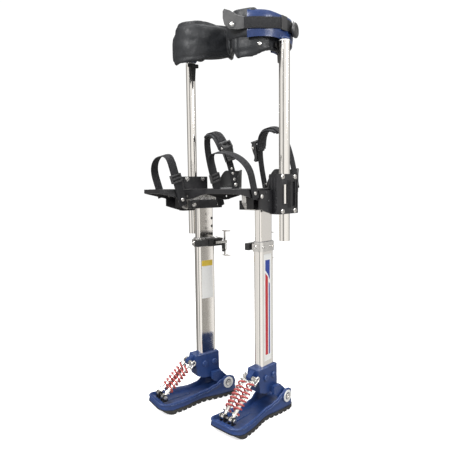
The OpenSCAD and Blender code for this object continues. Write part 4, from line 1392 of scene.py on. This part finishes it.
def make_stage():
    """White floor that mirrors and matt surfaces don't see."""
    floor = bpy.data.meshes.new("studio_floor")
    reach = 6.0
    corners = [(x * reach, y * reach, 0) for x, y in ((-1, -1), (1, -1), (1, 1), (-1, 1))]
    floor.from_pydata(corners, [], [(0, 1, 2, 3)])
    f = Finish("studio_white", (0.82, 0.82, 0.82), 0.9)
    f.tint(f.ramp(f.noise(1.5, 2), 0.0, 0.15), (0.8, 0.8, 0.805))
    f.bump(f.noise(90, 2), 0.02)
    f.matt(0.0)
    f.put({"Emission Color": (1, 1, 1, 1), "Emission Strength": 0.62})
    floor.materials.append(f.material)
    ground = placed("studio_floor", floor)
    ground.visible_glossy = False
    ground.visible_diffuse = False


# Brightness of the studio walls round the circle, as (turn from +X in degrees, level), for mirrors only
WALLS = (
    (-180, 0.25), (-160, 0.2), (-140, 0.55), (-118, 0.85), (-88, 0.95), (-80, 0.25), (-64, 0.18), (-56, 0.8),
    (-30, 1.0), (8, 0.95), (34, 0.88), (46, 0.72), (62, 0.66), (78, 0.35), (96, 0.3), (112, 0.7), (150, 0.8),
    (166, 0.4), (180, 0.25),
)


def make_world():
    """White for the camera, softer light for matt surfaces, and banded walls for mirrors."""
    world = bpy.data.worlds.new("studio")
    bpy.context.scene.world = world
    world.use_nodes = True
    n = Nodes(world.node_tree)
    split = n.add("ShaderNodeSeparateXYZ")
    n.join(n.add("ShaderNodeTexCoord").outputs["Generated"], split.inputs["Vector"])
    turn = n.maths("ARCTAN2", split.outputs["Y"], split.outputs["X"])
    bands = n.add("ShaderNodeValToRGB")
    stops = bands.color_ramp.elements
    stops.remove(stops[-1])
    for i, (angle, level) in enumerate(WALLS):
        place = (angle + 180) / 360
        stop = stops[0] if i == 0 else stops.new(place)
        stop.position = place
        stop.color = (level, level * 0.975, level * 0.94, 1)
    n.join(n.ramp(turn, 0.0, 1.0, -math.pi, math.pi), bands.inputs["Fac"])
    rays = n.add("ShaderNodeLightPath")

    def backdrop(strength):
        return n.add("ShaderNodeBackground", Color=(1, 1, 1, 1), Strength=strength)

    def choose(ray, no, yes):
        mix = n.add("ShaderNodeMixShader")
        for slot, source in enumerate((rays.outputs[ray], no.outputs[0], yes.outputs[0])):
            n.join(source, mix.inputs[slot])
        return mix

    mirrored = backdrop(1.0)
    n.join(bands.outputs["Color"], mirrored.inputs["Color"])
    seen = choose("Is Glossy Ray", backdrop(0.55), mirrored)
    shown = choose("Is Camera Ray", seen, backdrop(1.05))
    n.join(shown.outputs[0], world.node_tree.nodes["World Output"].inputs["Surface"])


def make_lights():
    """Three area lights: name, place, target, size in metres and power in watts."""
    for name, spot, target, size, power in (
        ("key", (0.6, -2.6, 2.6), (0, 0, 0.6), 1.2, 95),
        ("side", (2.6, 0.6, 1.8), (0, 0, 0.6), 1.0, 40),
        ("top", (0.1, 0.3, 3.0), (0, 0, 0.5), 1.6, 55),
    ):
        lamp = bpy.data.lights.new(name, "AREA")
        lamp.size = size
        lamp.energy = power
        light = placed(name, lamp)
        light.location = spot
        light.rotation_euler = (Vector(target) - Vector(spot)).to_track_quat("-Z", "Y").to_euler()


CAMERA_SPOT = Vector((1.0285, -0.870, 0.692))
CAMERA_TURN, CAMERA_TILT, CAMERA_ROLL = 49.8, -5.2, -0.7
CAMERA_LENS = 35.9


def make_camera():
    """The photo's camera: its turn from +Y, tilt and roll are in degrees, its place in metres."""
    data = bpy.data.cameras.new("camera")
    data.lens = CAMERA_LENS
    data.sensor_width = 36
    camera = placed("camera", data)
    turn, tilt, roll = (math.radians(a) for a in (CAMERA_TURN, CAMERA_TILT, CAMERA_ROLL))
    forward = Vector((-math.sin(turn) * math.cos(tilt), math.cos(turn) * math.cos(tilt), math.sin(tilt)))
    facing = forward.to_track_quat("-Z", "Y").to_matrix().to_4x4() @ Matrix.Rotation(roll, 4, "Z")
    camera.matrix_world = Matrix.Translation(CAMERA_SPOT) @ facing
    bpy.context.scene.camera = camera


make_stage()
make_world()
make_lights()
make_camera()
scene = bpy.context.scene
scene.view_settings.view_transform = "Standard"
scene.view_settings.look = "None"
